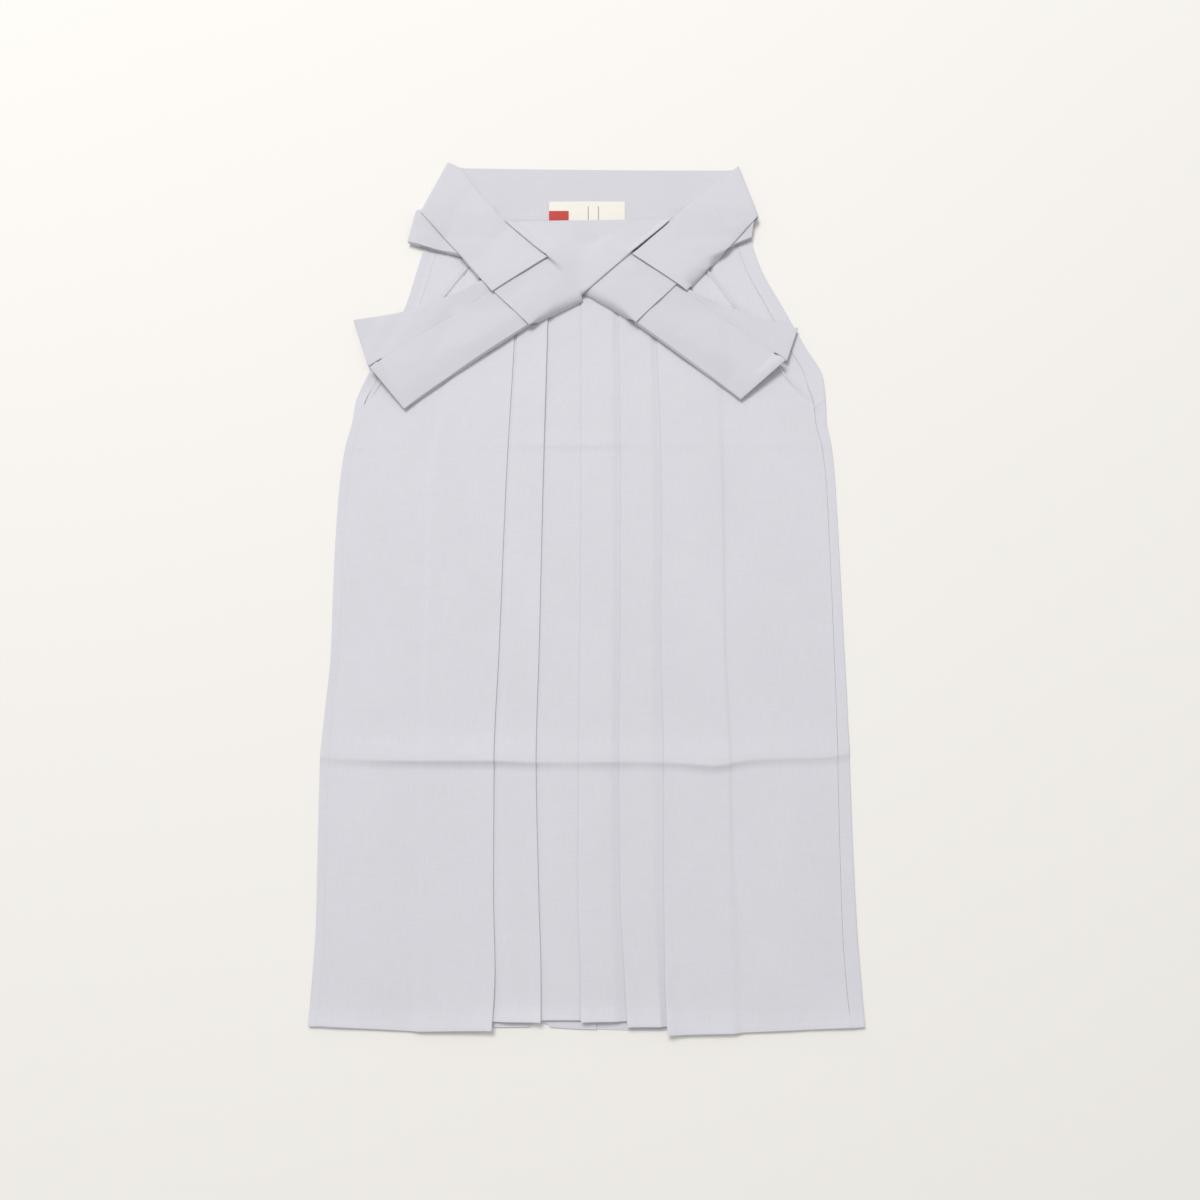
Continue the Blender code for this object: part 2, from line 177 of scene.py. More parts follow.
@dataclass
class Sheet:
    """One closed thin piece of cloth round a grid of middle points.

    Attributes:
        name: The piece's name, which is also its node's.
        slot: The material slot that it belongs to. It is not used.
        middle: The middle points, as rows, columns and X, Y, Z.
        thickness: The cloth's thickness at each point.
        rests_on: What the piece lies on. It is not used.
        held: How the piece lies.
        round_columns: How round the first and the last column's edges are, from 0 to 1.
        along: The cloth's direction from row to row at each point.
        across: Its direction from column to column.
        normal: The direction out of its top side.
        RIM_ANGLES: The rings of points round the rounded edge, by their angles above and below its middle.
        LEAST_UP: How little the normal of laid cloth may point up before it is set upright.
    """

    RIM_ANGLES = (50.0, 18.0, -18.0, -50.0)
    LEAST_UP = 0.1

    name: str
    slot: Slot
    middle: Grid
    thickness: Grid | float
    rests_on: tuple[str, ...]
    held: str = "laid"
    round_columns: tuple[float, float] = (1.0, 1.0)
    along: Grid = field(init=False)
    across: Grid = field(init=False)
    normal: Grid = field(init=False)

    def __post_init__(self) -> None:
        """Work out the cloth's own directions at each point."""
        self.along = tangents_of(self.middle, 0)
        self.across = tangents_of(self.middle, 1)
        normal = np.cross(self.across, self.along)
        self.normal = normal / length_of(normal)
        if self.held == "laid":
            self.normal[self.normal[..., 2] < self.LEAST_UP] = (0.0, 0.0, 1.0)
        self.thickness = np.broadcast_to(self.thickness, self.middle.shape[:2])

    @property
    def top(self) -> Grid:
        """The highest points of the cloth over each middle point."""
        half = self.thickness[..., None] / 2
        return self.middle + np.abs(self.normal) * half * (0.0, 0.0, 1.0)

    def rings(self) -> list[Grid]:
        """Round off the edge.

        Returns:
            Closed rings of points, from the top side to the bottom side.
        """
        rows, columns = self.middle.shape[:2]
        row, column = rim_of(rows, columns)
        outward = np.zeros((len(row), 3))
        outward -= self.along[row, column] * (row == 0)[:, None]
        outward += self.along[row, column] * (row == rows - 1)[:, None]
        outward -= self.across[row, column] * (column == 0)[:, None] * self.round_columns[0]
        outward += self.across[row, column] * (column == columns - 1)[:, None] * self.round_columns[1]
        half = self.thickness[row, column][:, None] / 2
        found = []
        for angle in self.RIM_ANGLES:
            up, out = math.sin(math.radians(angle)), math.cos(math.radians(angle))
            found.append(self.middle[row, column] + half * (self.normal[row, column] * up + outward * out))
        return found

    def faces(self) -> Grid:
        """Join the points up to faces.

        Returns:
            Every face's four corners, all facing outwards.
        """
        rows, columns = self.middle.shape[:2]
        count = rows * columns
        corner = (np.arange(rows - 1)[:, None] * columns + np.arange(columns - 1)).ravel()
        top = np.stack([corner, corner + 1, corner + columns + 1, corner + columns], axis=1)
        row, column = rim_of(rows, columns)
        rim = row * columns + column
        starts = 2 * count + len(rim) * np.arange(len(self.RIM_ANGLES))
        loops = [rim, *(start + np.arange(len(rim)) for start in starts), rim + count]
        sides = [
            np.stack([below, np.roll(below, -1), np.roll(above, -1), above], axis=1)
            for above, below in zip(loops, loops[1:])
        ]
        return np.concatenate([top, top[:, ::-1] + count, *sides])

    def flat_places(self) -> Grid:
        """Unfold the cloth.

        Returns:
            Each point's place on the flat cloth, in metres, measured along the cloth.
        """
        across = np.linalg.norm(np.diff(self.middle, axis=1), axis=-1)
        along = np.linalg.norm(np.diff(self.middle, axis=0), axis=-1)
        u = np.pad(np.cumsum(across, axis=1), ((0, 0), (1, 0)))
        v = np.pad(np.cumsum(along.mean(axis=1)), (1, 0))
        return np.stack([u, np.broadcast_to(v[:, None], u.shape)], axis=-1) * MM

    def build(self, finish: "Finish") -> None:
        """Make the mesh, dress it, hang it on the garment's body and hide the CAD part that it stands for.

        Args:
            finish: The material that it gets.
        """
        half = self.normal * self.thickness[..., None] / 2
        row, column = rim_of(*self.middle.shape[:2])
        points = [(self.middle + half).reshape(-1, 3), (self.middle - half).reshape(-1, 3), *self.rings()]
        flat = self.flat_places()
        places = [flat.reshape(-1, 2)] * 2 + [flat[row, column]] * len(self.RIM_ANGLES)
        placed = np.concatenate(points) * MM + (0.0, HEM_LINE, 0.0)
        faces = self.faces()
        mesh = bpy.data.meshes.new(self.name)
        mesh.vertices.add(len(placed))
        mesh.vertices.foreach_set("co", placed.astype(np.float32).ravel())
        mesh.loops.add(faces.size)
        mesh.loops.foreach_set("vertex_index", faces.astype(np.int32).ravel())
        mesh.polygons.add(len(faces))
        mesh.polygons.foreach_set("loop_start", np.arange(0, faces.size, 4, dtype=np.int32))
        mesh.update(calc_edges=True)
        layer = mesh.uv_layers.new(name=UV_NAME)
        layer.data.foreach_set("uv", np.concatenate(places)[faces.ravel()].astype(np.float32).ravel())
        mesh.shade_smooth()
        mesh.materials.append(finish.material())
        piece = bpy.data.objects.new(self.name + "_cloth", mesh)
        bpy.context.scene.collection.objects.link(piece)
        self.declare(piece)

    def build_on(self, pile: "Pile", finish: "Finish") -> None:
        """Make the piece and lay it on the pile."""
        self.build(finish)
        pile.lay(self.top)

    def declare(self, piece: bpy.types.Object) -> None:
        """Hang a piece on the garment's body and hide the CAD part that it stands for.

        Args:
            piece: The finished piece.
        """
        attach(piece, BODY)
        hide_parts(self.name)


class Pile:
    """How high the cloth already laid down stands over each spot of the floor.

    Attributes:
        CELL: The side of the map's cells.
        LEFT: Where the map starts across.
        LOW: Where it starts along the garment.
        ACROSS: How many cells it has across.
        ALONG: How many cells it has along the garment.
        LEVEL_CELLS: For how many cells stiff cloth goes on level past an edge.
        FALL: How steeply it falls from there.
        FALL_CELLS: For how many cells it falls at most.
        SOFTEN: How many times the bridged map is softened.
        SPOTS: How many spots of a piece are marked for each cell that it crosses.
        NEAR: Half of a cell's neighbours, as cells right, cells up and how far off. The others lie opposite.
        height: The marked heights themselves.
        solid: The same with the gaps between the marks closed.
        eased: The same with every step bridged by a slope.
    """

    CELL = 1.5
    LEFT = -330.0
    LOW = -30.0
    ACROSS = 440
    ALONG = 700
    LEVEL_CELLS = 4
    FALL = 0.13
    FALL_CELLS = 40
    SOFTEN = 5
    SPOTS = 1.4
    NEAR = ((1, 0, 1.0), (0, 1, 1.0), (1, 1, math.sqrt(2.0)), (1, -1, math.sqrt(2.0)))

    def __init__(self) -> None:
        """Start with the bare floor."""
        self.height = np.zeros((self.ACROSS, self.ALONG))
        self.solid = self.height
        self.eased = self.height

    def spread(self, heights: Grid, fall: float) -> Grid:
        """Spread the heights to the cells beside them.

        Args:
            heights: The map.
            fall: How much lower a neighbour may lie for each millimetre between them.

        Returns:
            The map with every cell raised where it lay lower than that.
        """
        found = heights
        for right, up, far in self.NEAR:
            for way in (1, -1):
                moved = np.roll(heights, (way * right, way * up), axis=(0, 1))
                found = np.maximum(found, moved - fall * far * self.CELL)
        return found

    def soften(self, heights: Grid) -> Grid:
        """The map with each cell made the mean of itself and its four neighbours."""
        sides = [np.roll(heights, way, axis) for axis in (0, 1) for way in (1, -1)]
        return (2 * heights + sum(sides)) / 6

    def spots(self, steps: Grid) -> int:
        """How many spots to mark along each of these steps, so that the longest leaves no gap."""
        return int(np.linalg.norm(steps, axis=-1).max() / self.CELL * self.SPOTS) + 2

    def lay(self, top: Grid) -> None:
        """Lay down a piece.

        Args:
            top: The grid of the highest points of its cloth.
        """
        along, across = (self.spots(np.diff(top[..., :2], axis=axis)) for axis in (0, 1))
        a, b, c, d = top[:-1, :-1], top[:-1, 1:], top[1:, :-1], top[1:, 1:]
        for s in np.linspace(0, 1, along):
            for t in np.linspace(0, 1, across):
                spot = (a * (1 - t) + b * t) * (1 - s) + (c * (1 - t) + d * t) * s
                i = np.clip(((spot[..., 0] - self.LEFT) / self.CELL).astype(int), 0, self.ACROSS - 1)
                j = np.clip(((spot[..., 1] - self.LOW) / self.CELL).astype(int), 0, self.ALONG - 1)
                np.maximum.at(self.height, (i, j), spot[..., 2])
        self.solid = self.soften(self.spread(self.spread(self.height, 0.0), 0.0))
        eased = self.height
        for _ in range(self.LEVEL_CELLS):
            eased = self.spread(eased, 0.0)
        for _ in range(self.FALL_CELLS):
            eased = self.spread(eased, self.FALL)
        for _ in range(self.SOFTEN):
            eased = self.soften(eased)
        self.eased = eased

    def read(self, heights: Grid, plan: Grid) -> Grid:
        """Read a map between its cells.

        Args:
            heights: The map.
            plan: Places in plan.

        Returns:
            The heights at those places.
        """
        across = np.clip((plan[..., 0] - self.LEFT) / self.CELL - 0.5, 0, self.ACROSS - 1.001)
        along = np.clip((plan[..., 1] - self.LOW) / self.CELL - 0.5, 0, self.ALONG - 1.001)
        i, j = across.astype(int), along.astype(int)
        s, t = across - i, along - j
        low = heights[i, j] * (1 - s) + heights[i + 1, j] * s
        high = heights[i, j + 1] * (1 - s) + heights[i + 1, j + 1] * s
        return low * (1 - t) + high * t

    def rest(self, plan: Grid) -> Grid:
        """The height that stiff cloth rests on, with every step bridged by a slope."""
        return self.read(self.eased, plan)

    def under(self, plan: Grid) -> Grid:
        """The height of what really lies there."""
        return self.read(self.solid, plan)


# ---------------------------------------------------------------------------------------------------------
# The legs
# ---------------------------------------------------------------------------------------------------------


@dataclass(frozen=True)
class Crease:
    """A soft ridge along a straight line, gentle on the left of the line and steep on its right.

    Attributes:
        start: Where the line starts, in plan.
        end: Where it ends.
        rise: How high the ridge stands.
        gentle: How far it reaches on the left.
        steep: How far it reaches on the right.
        fade: Over what length both ends die out.
    """

    start: tuple[float, float]
    end: tuple[float, float]
    rise: float
    gentle: float
    steep: float
    fade: float

    def lift(self, x: Grid, y: Grid) -> Grid:
        """Read the ridge.

        Args:
            x: The places across.
            y: Their heights above the hem.

        Returns:
            How far it lifts the cloth there.
        """
        along = np.subtract(self.end, self.start)
        length = float(np.hypot(*along))
        along = along / length
        right, up = x - self.start[0], y - self.start[1]
        place = right * along[0] + up * along[1]
        aside = up * along[0] - right * along[1]
        ends = ease(place / self.fade) * ease((length - place) / self.fade)
        left = np.exp(-((aside / self.gentle) ** 2))
        right_side = np.clip(1 + aside / self.steep, 0, 1) ** 2
        return self.rise * ends * np.where(aside > 0, left, right_side)


@dataclass(frozen=True)
class StorageFold:
    """A crease right across the front, from lying folded in a drawer.

    Attributes:
        line: Its height above the hem and how high it stands, at places across.
        gentle: How far it reaches towards the waist.
        steep: How far it reaches towards the hem.
    """

    line: Table
    gentle: float
    steep: float

    def lift(self, x: Grid, y: Grid) -> Grid:
        """Read the crease.

        Args:
            x: The places across.
            y: Their heights above the hem.

        Returns:
            How far it lifts the cloth there.
        """
        above = y - self.line.at("height", x)
        waist_side = np.exp(-((above / self.gentle) ** 2))
        hem_side = np.clip(1 + above / self.steep, 0, 1) ** 2
        return self.line.at("rise", x) * np.where(above > 0, waist_side, hem_side)


@dataclass
class Legs:
    """The two legs: the flat back panels with their folded edges, and the pleated fronts on them.

    Attributes:
        wall: The cloth's thickness.
        pitch: How far apart two layers lie.
        hem_pitch: How much further apart they lie at the hem.
        hem_reach: Over what height that dies out.
        hem_flare: How far the hem stands off the floor.
        hem_flare_reach: Over what height that dies out.
        hem_turn: How far up the hem's turning reaches.
        hem_doubling: How much the turning adds to the thickness, as a share of it.
        hem_turn_fade: Over what height that comes in.
        hem_ease: Over what height a hem that isn't level eases into the even rows above it.
        crotch_height: How far above the hem the legs part.
        crotch_reach: Over what height above and below it the inner leg's fold comes in.
        leg_split: Where the legs part across.
        leg_gap: How far apart the backs' inner edges lie.
        leg_corner_reach: How far the rounded corners beside the leg split reach.
        leg_corner_rise: How high they rise.
        leg_corner_fullness: How full they are.
        inner_leg_fold: How far the back is turned in at the inner leg.
        seam_allowance: How far it is turned in above the crotch.
        bed_margin: How far past that fold the front still lies on both layers.
        bed_ramp: Over what width the front comes down from it.
        still_reach: How far from the leg split the back lies quite still.
        still_fade: Over what width it starts to follow the waves and creases.
        inner_pleat_depth: How deep the three inner pleats are.
        edge_lap: How far out from under a pleat's edge the next cloth still lies low.
        slope_start: How far past a tucked fold the cloth over it starts to slope down.
        slope_least: The least width of that slope at the side panels.
        seam_margin: The least width of flat cloth between that slope and the side seam.
        seam_top: Where the side seams end and the side openings start.
        front_top: The top of the fronts.
        back_top: The top of the backs.
        seam_gaps: How far each front's edge lies from the back's turned edge.
        seam_round: How round that edge is, from 0 to 1.
        strip_feathers: How far the back's turned edge sinks beside the opening, in layers.
        feather_reach: Over what height that comes in.
        feather_wall: How thick the back stays between two layers, as a share.
        lift_reach: How far in from a pleat's edge its lift reaches.
        lift_layer: The layer from which pleats take part in the lift.
        lift_layer_fade: Over how many layers that comes in.
        opening_rise: How high the rolled hem along a side opening stands.
        opening_inset: How far inside the edge its crest lies.
        opening_reach: How wide that crest is.
        opening_fade: Over what height it comes in above the seam's top.
        sides: The outer edges of the garment at each height.
        turns: How wide the back's turning shows at each height.
        openings: The fronts' edges above the side seams.
        pleats: Each pleat's edge at each height.
        lifts: How far each pleat's edge stands off the cloth beneath it.
        depths: How deep the two outer pleats are.
        shoulders: How wide the slope over their tucked folds is.
        left_hem: The height of the left front's hem.
        left_hem_places: Where it is read for the side, the slope's two ends and the first pleat.
        right_hem: The height of the right front's hem.
        right_hem_places: Where it is read for the fifth pleat, the slope's two ends and the side.
        back_hem: The height of the back's hem.
        strip_hems: The heights of the hems of the four strips between the pleats' edges.
        ripples: The long low waves of the whole cloth.
        hem_waves: The short ones near the hem.
        hem_wave_reach: How far up those reach.
        storage: The creases right across.
        puckers: The small creases at the tops of the side seams.
    """

    wall: float = 0.5
    pitch: float = 0.66
    hem_pitch: float = 0.75
    hem_reach: float = 20.0
    hem_flare: float = 1.2
    hem_flare_reach: float = 9.0
    hem_turn: float = 20.0
    hem_doubling: float = 0.6
    hem_turn_fade: float = 5.0
    hem_ease: float = 60.0
    crotch_height: float = 430.0
    crotch_reach: float = 15.0
    leg_split: float = -50.0
    leg_gap: float = 0.5
    leg_corner_reach: float = 12.0
    leg_corner_rise: float = 4.0
    leg_corner_fullness: float = 2.2
    inner_leg_fold: float = 60.0
    seam_allowance: float = 12.0
    bed_margin: float = 2.0
    bed_ramp: float = 28.0
    still_reach: float = 70.0
    still_fade: float = 20.0
    inner_pleat_depth: float = 34.0
    edge_lap: float = 1.4
    slope_start: float = 0.5
    slope_least: float = 2.0
    seam_margin: float = 4.0
    seam_top: float = 695.0
    front_top: float = 859.0
    back_top: float = 915.7
    seam_gaps: Mapping[Side, float] = field(default_factory=lambda: {Side.LEFT: 0.02, Side.RIGHT: 0.7})
    seam_round: Mapping[Side, float] = field(default_factory=lambda: {Side.LEFT: 0.1, Side.RIGHT: 1.0})
    strip_feathers: Mapping[Side, float] = field(default_factory=lambda: {Side.LEFT: 0.75, Side.RIGHT: 0.4})
    feather_reach: float = 25.0
    feather_wall: float = 0.55
    lift_reach: float = 10.0
    lift_layer: float = 0.3
    lift_layer_fade: float = 0.6
    opening_rise: float = 1.9
    opening_inset: float = 1.6
    opening_reach: float = 1.7
    opening_fade: float = 30.0

    sides: Table = Table(
        "height left right",
        (0.0, -297.5, 297.5),
        (22.0, -296.8, 296.8),
        (60.0, -295.0, 295.0),
        (110.0, -293.0, 292.6),
        (200.0, -293.8, 290.6),
        (285.0, -294.5, 289.8),
        (340.0, -291.2, 289.2),
        (410.0, -286.4, 287.6),
        (510.0, -285.8, 285.3),
        (600.0, -282.6, 282.8),
        (643.0, -277.6, 280.0),
        (676.0, -270.0, 274.8),
        (695.0, -267.6, 274.6),
        (725.0, -256.5, 272.6),
        (765.0, -237.0, 252.0),
        (810.0, -213.6, 228.5),
        (859.0, -199.5, 203.2),
        (890.0, -191.0, 193.5),
        (916.0, -186.0, 189.0),
    )
    turns: Table = Table(
        "height left right",
        (0.0, 8.2, 15.0),
        (60.0, 9.7, 16.2),
        (200.0, 9.5, 14.1),
        (600.0, 9.7, 10.1),
        (695.0, 10.8, 13.7),
        (725.0, 13.0, 20.0),
        (859.0, 16.0, 17.5),
        (916.0, 16.0, 17.5),
    )
    openings: Table = Table(
        "height left right",
        (695.0, -256.5, 260.6),
        (725.0, -238.0, 233.0),
        (765.0, -211.0, 204.6),
        (810.0, -180.0, 174.9),
        (859.0, -143.5, 139.5),
    )
    pleats: Table = Table(
        "height first second third fourth fifth",
        (0.0, -100.5, -48.5, -5.8, 43.5, 86.2),
        (60.0, -98.4, -49.0, -6.4, 40.8, 84.0),
        (150.0, -101.2, -52.2, -9.4, 36.2, 83.8),
        (300.0, -102.2, -56.0, -8.8, 35.4, 84.8),
        (411.0, -98.3, -53.6, -7.9, 36.8, 82.6),
        (605.0, -92.5, -50.4, -7.1, 38.3, 84.8),
        (765.0, -85.2, -46.9, -7.5, 36.6, 80.4),
        (859.0, -82.0, -45.0, -7.5, 35.2, 77.5),
    )
    lifts: Table = Table(
        "height first second third fourth fifth",
        (0.0, 2.2, 1.8, 1.8, 1.8, 2.2),
        (30.0, 1.6, 1.3, 1.2, 1.3, 1.8),
        (80.0, 0.9, 0.9, 0.6, 0.8, 1.1),
        (160.0, 0.5, 0.7, 0.3, 0.5, 0.7),
        (286.0, 0.8, 0.8, 0.3, 0.6, 0.8),
        (411.0, 0.5, 0.7, 0.25, 0.4, 0.5),
        (605.0, 0.5, 1.0, 0.25, 0.5, 0.5),
        (700.0, 0.5, 1.6, 0.3, 0.5, 0.5),
        (765.0, 0.4, 1.5, 0.3, 0.5, 0.5),
        (859.0, 0.2, 0.3, 0.1, 0.2, 0.2),
    )
    depths: Table = Table(
        "height first fifth",
        (0.0, 76.0, 69.0),
        (150.0, 75.0, 70.0),
        (600.0, 82.0, 66.0),
        (700.0, 68.0, 62.0),
        (859.0, 44.0, 46.0),
    )
    shoulders: Table = Table(
        "height left right",
        (0.0, 14.0, 14.0),
        (120.0, 9.0, 12.0),
        (200.0, 6.0, 7.0),
        (470.0, 6.5, 6.0),
        (620.0, 12.0, 7.0),
        (700.0, 16.0, 13.0),
        (859.0, 16.0, 16.0),
    )
    left_hem: Table = Table(
        "across height", (-290.0, 8.5), (-231.0, 5.4), (-165.0, 3.3), (-113.0, 3.3), (-100.0, 4.9)
    )
    left_hem_places: tuple[float, ...] = (-290.0, -190.0, -176.0, -100.0)
    right_hem: Table = Table(
        "across height", (86.0, LOWEST_HEM), (110.0, LOWEST_HEM), (163.0, 1.7), (195.0, 3.8), (264.0, 6.8)
    )
    right_hem_places: tuple[float, ...] = (86.0, 156.0, 170.0, 264.0)
    back_hem: Table = Table(
        "across height",
        (-297.5, 8.4),
        (-100.0, 7.0),
        (-50.0, 7.2),
        (0.0, 4.9),
        (80.0, 3.2),
        (275.0, 6.6),
        (297.5, 7.8),
    )
    strip_hems: tuple[float, ...] = (13.4, 14.9, 13.6, 8.3)
    ripples: Table = Table(
        "across_wave along_wave phase height",
        (26.0, 190.0, 0.4, 0.10),
        (41.0, -260.0, 2.1, 0.12),
        (83.0, 120.0, 4.0, 0.13),
        (190.0, 66.0, 1.2, 0.13),
    )
    hem_waves: Table = Table(
        "across_wave along_wave phase height",
        (11.0, 23.0, 1.1, 0.26),
        (17.0, -31.0, 3.7, 0.32),
        (29.0, 19.0, 5.2, 0.30),
    )
    hem_wave_reach: float = 75.0
    storage: tuple[StorageFold, ...] = (
        StorageFold(
            Table(
                "across height rise",
                (-296.0, 293.0, 1.4),
                (-270.0, 290.5, 1.8),
                (-230.0, 289.0, 3.1),
                (-176.0, 288.5, 4.5),
                (-104.0, 288.5, 4.8),
                (-60.0, 287.0, 3.7),
                (-20.0, 286.6, 2.6),
                (20.0, 287.2, 3.4),
                (60.0, 287.0, 2.7),
                (100.0, 286.0, 3.5),
                (140.0, 283.2, 4.2),
                (165.0, 287.0, 3.6),
                (190.0, 290.2, 2.9),
                (255.0, 291.8, 2.4),
                (290.0, 296.0, 2.1),
            ),
            gentle=22.0,
            steep=11.0,
        ),
        StorageFold(
            Table(
                "across height rise",
                (-290.0, 645.0, 0.35),
                (-245.0, 644.0, 0.3),
                (-200.0, 644.0, 0.1),
                (-90.0, 645.0, 0.25),
                (-46.0, 646.0, 0.8),
                (0.0, 646.0, 0.9),
                (40.0, 646.5, 0.7),
                (70.0, 646.5, 0.25),
                (160.0, 646.0, 0.2),
                (280.0, 647.0, 0.3),
            ),
            gentle=14.0,
            steep=9.0,
        ),
    )
    puckers: tuple[Crease, ...] = (
        Crease((258.0, 688.0), (274.0, 702.0), 0.7, 3.0, 2.5, 4.0),
        Crease((244.0, 722.0), (262.0, 706.0), 0.6, 5.0, 7.0, 6.0),
        Crease((-270.0, 702.0), (-250.0, 690.0), 0.5, 3.0, 3.0, 5.0),
    )

    def heights(self, top: float) -> Grid:
        """Choose the cross-sections, which lie closer together at the hem, the creases and the seam's top.

        Args:
            top: The panel's top.

        Returns:
            The cross-sections' heights above the hem.
        """
        stretches = (
            (0.0, 0.9, 3),
            (0.9, 1.8, 2),
            (1.8, 12.0, 8),
            (12.0, 60.0, 11),
            (60.0, 266.0, 33),
            (266.0, 300.0, 24),
            (300.0, 634.0, 52),
            (634.0, 656.0, 13),
            (656.0, 684.0, 6),
            (684.0, 708.0, 12),
            (708.0, top, 28),
        )
        stops = [np.linspace(low, high, steps, endpoint=False) for low, high, steps in stretches]
        return np.append(np.concatenate(stops), top)

    def thick(self, height: Grid) -> Grid:
        """The cloth's thickness at a height: the hem is turned up and so is thicker."""
        return self.wall * (1 + self.hem_doubling * ease((self.hem_turn - height) / self.hem_turn_fade))

    def spacing(self, height: Grid) -> Grid:
        """How far apart two layers lie at a height."""
        return self.pitch + self.hem_pitch * np.exp(-((height / self.hem_reach) ** 2))

    def ripple(self, x: Grid, y: Grid) -> Grid:
        """Read the waves of cloth that lies loose.

        Args:
            x: The places across.
            y: Their heights above the hem.

        Returns:
            How far the waves lift the cloth there, which is never below 0.
        """
        total = 0.0
        near_hem = np.exp(-((y / self.hem_wave_reach) ** 2))
        for waves, share in ((self.ripples, 1.0), (self.hem_waves, near_hem)):
            for across, along, phase, height in waves.rows:
                total = total + share * height * (1 + np.sin(x / across + y / along + phase))
        return total

    def tuck(self, height: Grid) -> Grid:
        """How far the back's cloth is turned in at the inside of each leg."""
        share = ease((self.crotch_height + self.crotch_reach - height) / (2 * self.crotch_reach))
        return self.seam_allowance + (self.inner_leg_fold - self.seam_allowance) * share

    def bed(self, x: Grid, height: Grid) -> Grid:
        """On how many layers of the back the front's lowest layer lies."""
        beyond = np.abs(x - self.leg_split) - self.tuck(height) - self.bed_margin
        return 1 + ease(1 - beyond / self.bed_ramp)

    def place(self, profile: "Profile", bed: Grid, loose: Grid, lift: Grid) -> Grid:
        """The middle points of folded cloth.

        Args:
            profile: The cross-sections.
            bed: On how many layers each point's lowest layer lies.
            loose: How much of the waves and creases each point follows, from 0 to 1.
            lift: How far each point is lifted besides.

        Returns:
            The grid of points.
        """
        x, layer, hem = profile.grids()
        height = profile.heights[:, None]
        y = height + hem * np.clip(1 - height / self.hem_ease, 0, 1) ** 2
        z = self.thick(height) / 2 + self.spacing(height) * (bed + layer) + lift
        rise = self.ripple(x, height) + self.hem_flare * np.exp(-((height / self.hem_flare_reach) ** 2))
        for fold in self.storage:
            rise = rise + fold.lift(x, height)
        for crease in self.puckers:
            rise = rise + crease.lift(x, height)
        return np.stack([x, y, z + rise * loose], axis=-1)

    def hem_of_back(self, across: Grid) -> Grid:
        """Read the back's hem, with the corners beside the leg split rounded off.

        Args:
            across: The places across.

        Returns:
            The hem's height there.
        """
        inside = 1 - np.abs(across - self.leg_split) / self.leg_corner_reach
        near = ease(self.leg_corner_fullness * inside)
        return self.back_hem.at("height", across) + self.leg_corner_rise * near

    def back(self, side: Side) -> Sheet:
        """Make one leg's back: flat on the floor, folded up at its inner edge and round the side fold.

        Args:
            side: Which leg it is.

        Returns:
            The panel.
        """
        facing = side.value
        heights = self.heights(self.back_top)
        outer = self.sides.at(side.word, heights)
        turned = outer - facing * self.turns.at(side.word, heights)
        inner = self.leg_split + facing * self.leg_gap / 2 + 0 * heights
        start = inner + facing * self.tuck(heights)
        profile = Profile(heights, self.spacing(heights), self.wall, start, 1.0)
        profile.fold(inner, -facing, 0.0, steps=12, crowd=1.6)
        profile.fold(outer, facing, 1.0, steps=44, crowd=1.0)
        feather = self.strip_feathers[side] * ease((heights - self.seam_top) / self.feather_reach)
        profile.finish(turned, -facing, 1.0 - feather, steps=6)
        x = profile.grids()[0]
        profile.hems = list(self.hem_of_back(x).T)
        layer = profile.grids()[1]
        near_side = ease((np.abs(x - self.leg_split) - self.still_reach) / self.still_fade)
        points = self.place(profile, 0.0 * x, ease(layer) * near_side, 0.0 * x)
        sunk = self.feather_wall + (1 - self.feather_wall) * ease(1 - layer * 2)
        thickness = self.thick(heights[:, None]) * np.where(layer > 0.99, 1.0, sunk)
        ends = (1.0, self.seam_round[side])
        name = f"back_{side.word}"
        return Sheet(name, Slot.LEG, points, thickness, ("floor",), round_columns=ends)

    def front_edge(self, side: Side, heights: Grid) -> Grid:
        """Find a front's outer edge: beside the back's turned edge, then along the side opening.

        Args:
            side: Which front it is.
            heights: The heights to find it at.

        Returns:
            Where it lies across.
        """
        facing = side.value
        turned = self.sides.at(side.word, heights) - facing * self.turns.at(side.word, heights)
        seam = turned - facing * self.seam_gaps[side]
        return np.where(heights > self.seam_top, self.openings.at(side.word, heights), seam)

    def fold_lift(self, profile: "Profile") -> Grid:
        """Lift the pleats' edges off the cloth beneath them, and the rolled hems of the side openings.

        Args:
            profile: A front's cross-sections.

        Returns:
            How far each point is lifted.
        """
        x, layer, _ = profile.grids()
        heights = profile.heights
        total = 0.0 * x
        for name, facing in (("first", 1), ("second", 1), ("third", -1), ("fourth", -1), ("fifth", -1)):
            inside = facing * (self.pleats.at(name, heights)[:, None] - x)
            near = np.exp(-((np.clip(inside, 0, None) / self.lift_reach) ** 2))
            amount = self.lifts.at(name, heights)[:, None]
            taking_part = ease((layer - self.lift_layer) / self.lift_layer_fade)
            total = total + amount * near * (inside > 0) * taking_part
        return total + self.opening_lift(x, heights[:, None])

    def opening_lift(self, x: Grid, height: Grid) -> Grid:
        """Raise the rolled hem along each side opening.

        Args:
            x: The places across.
            height: Their heights above the hem.

        Returns:
            How far it stands up there.
        """
        left = x - self.openings.at("left", height)
        right = self.openings.at("right", height) - x
        inside = np.minimum(left, right) - self.opening_inset
        near = np.exp(-((inside / self.opening_reach) ** 2))
        return self.opening_rise * near * ease((height - self.seam_top) / self.opening_fade)

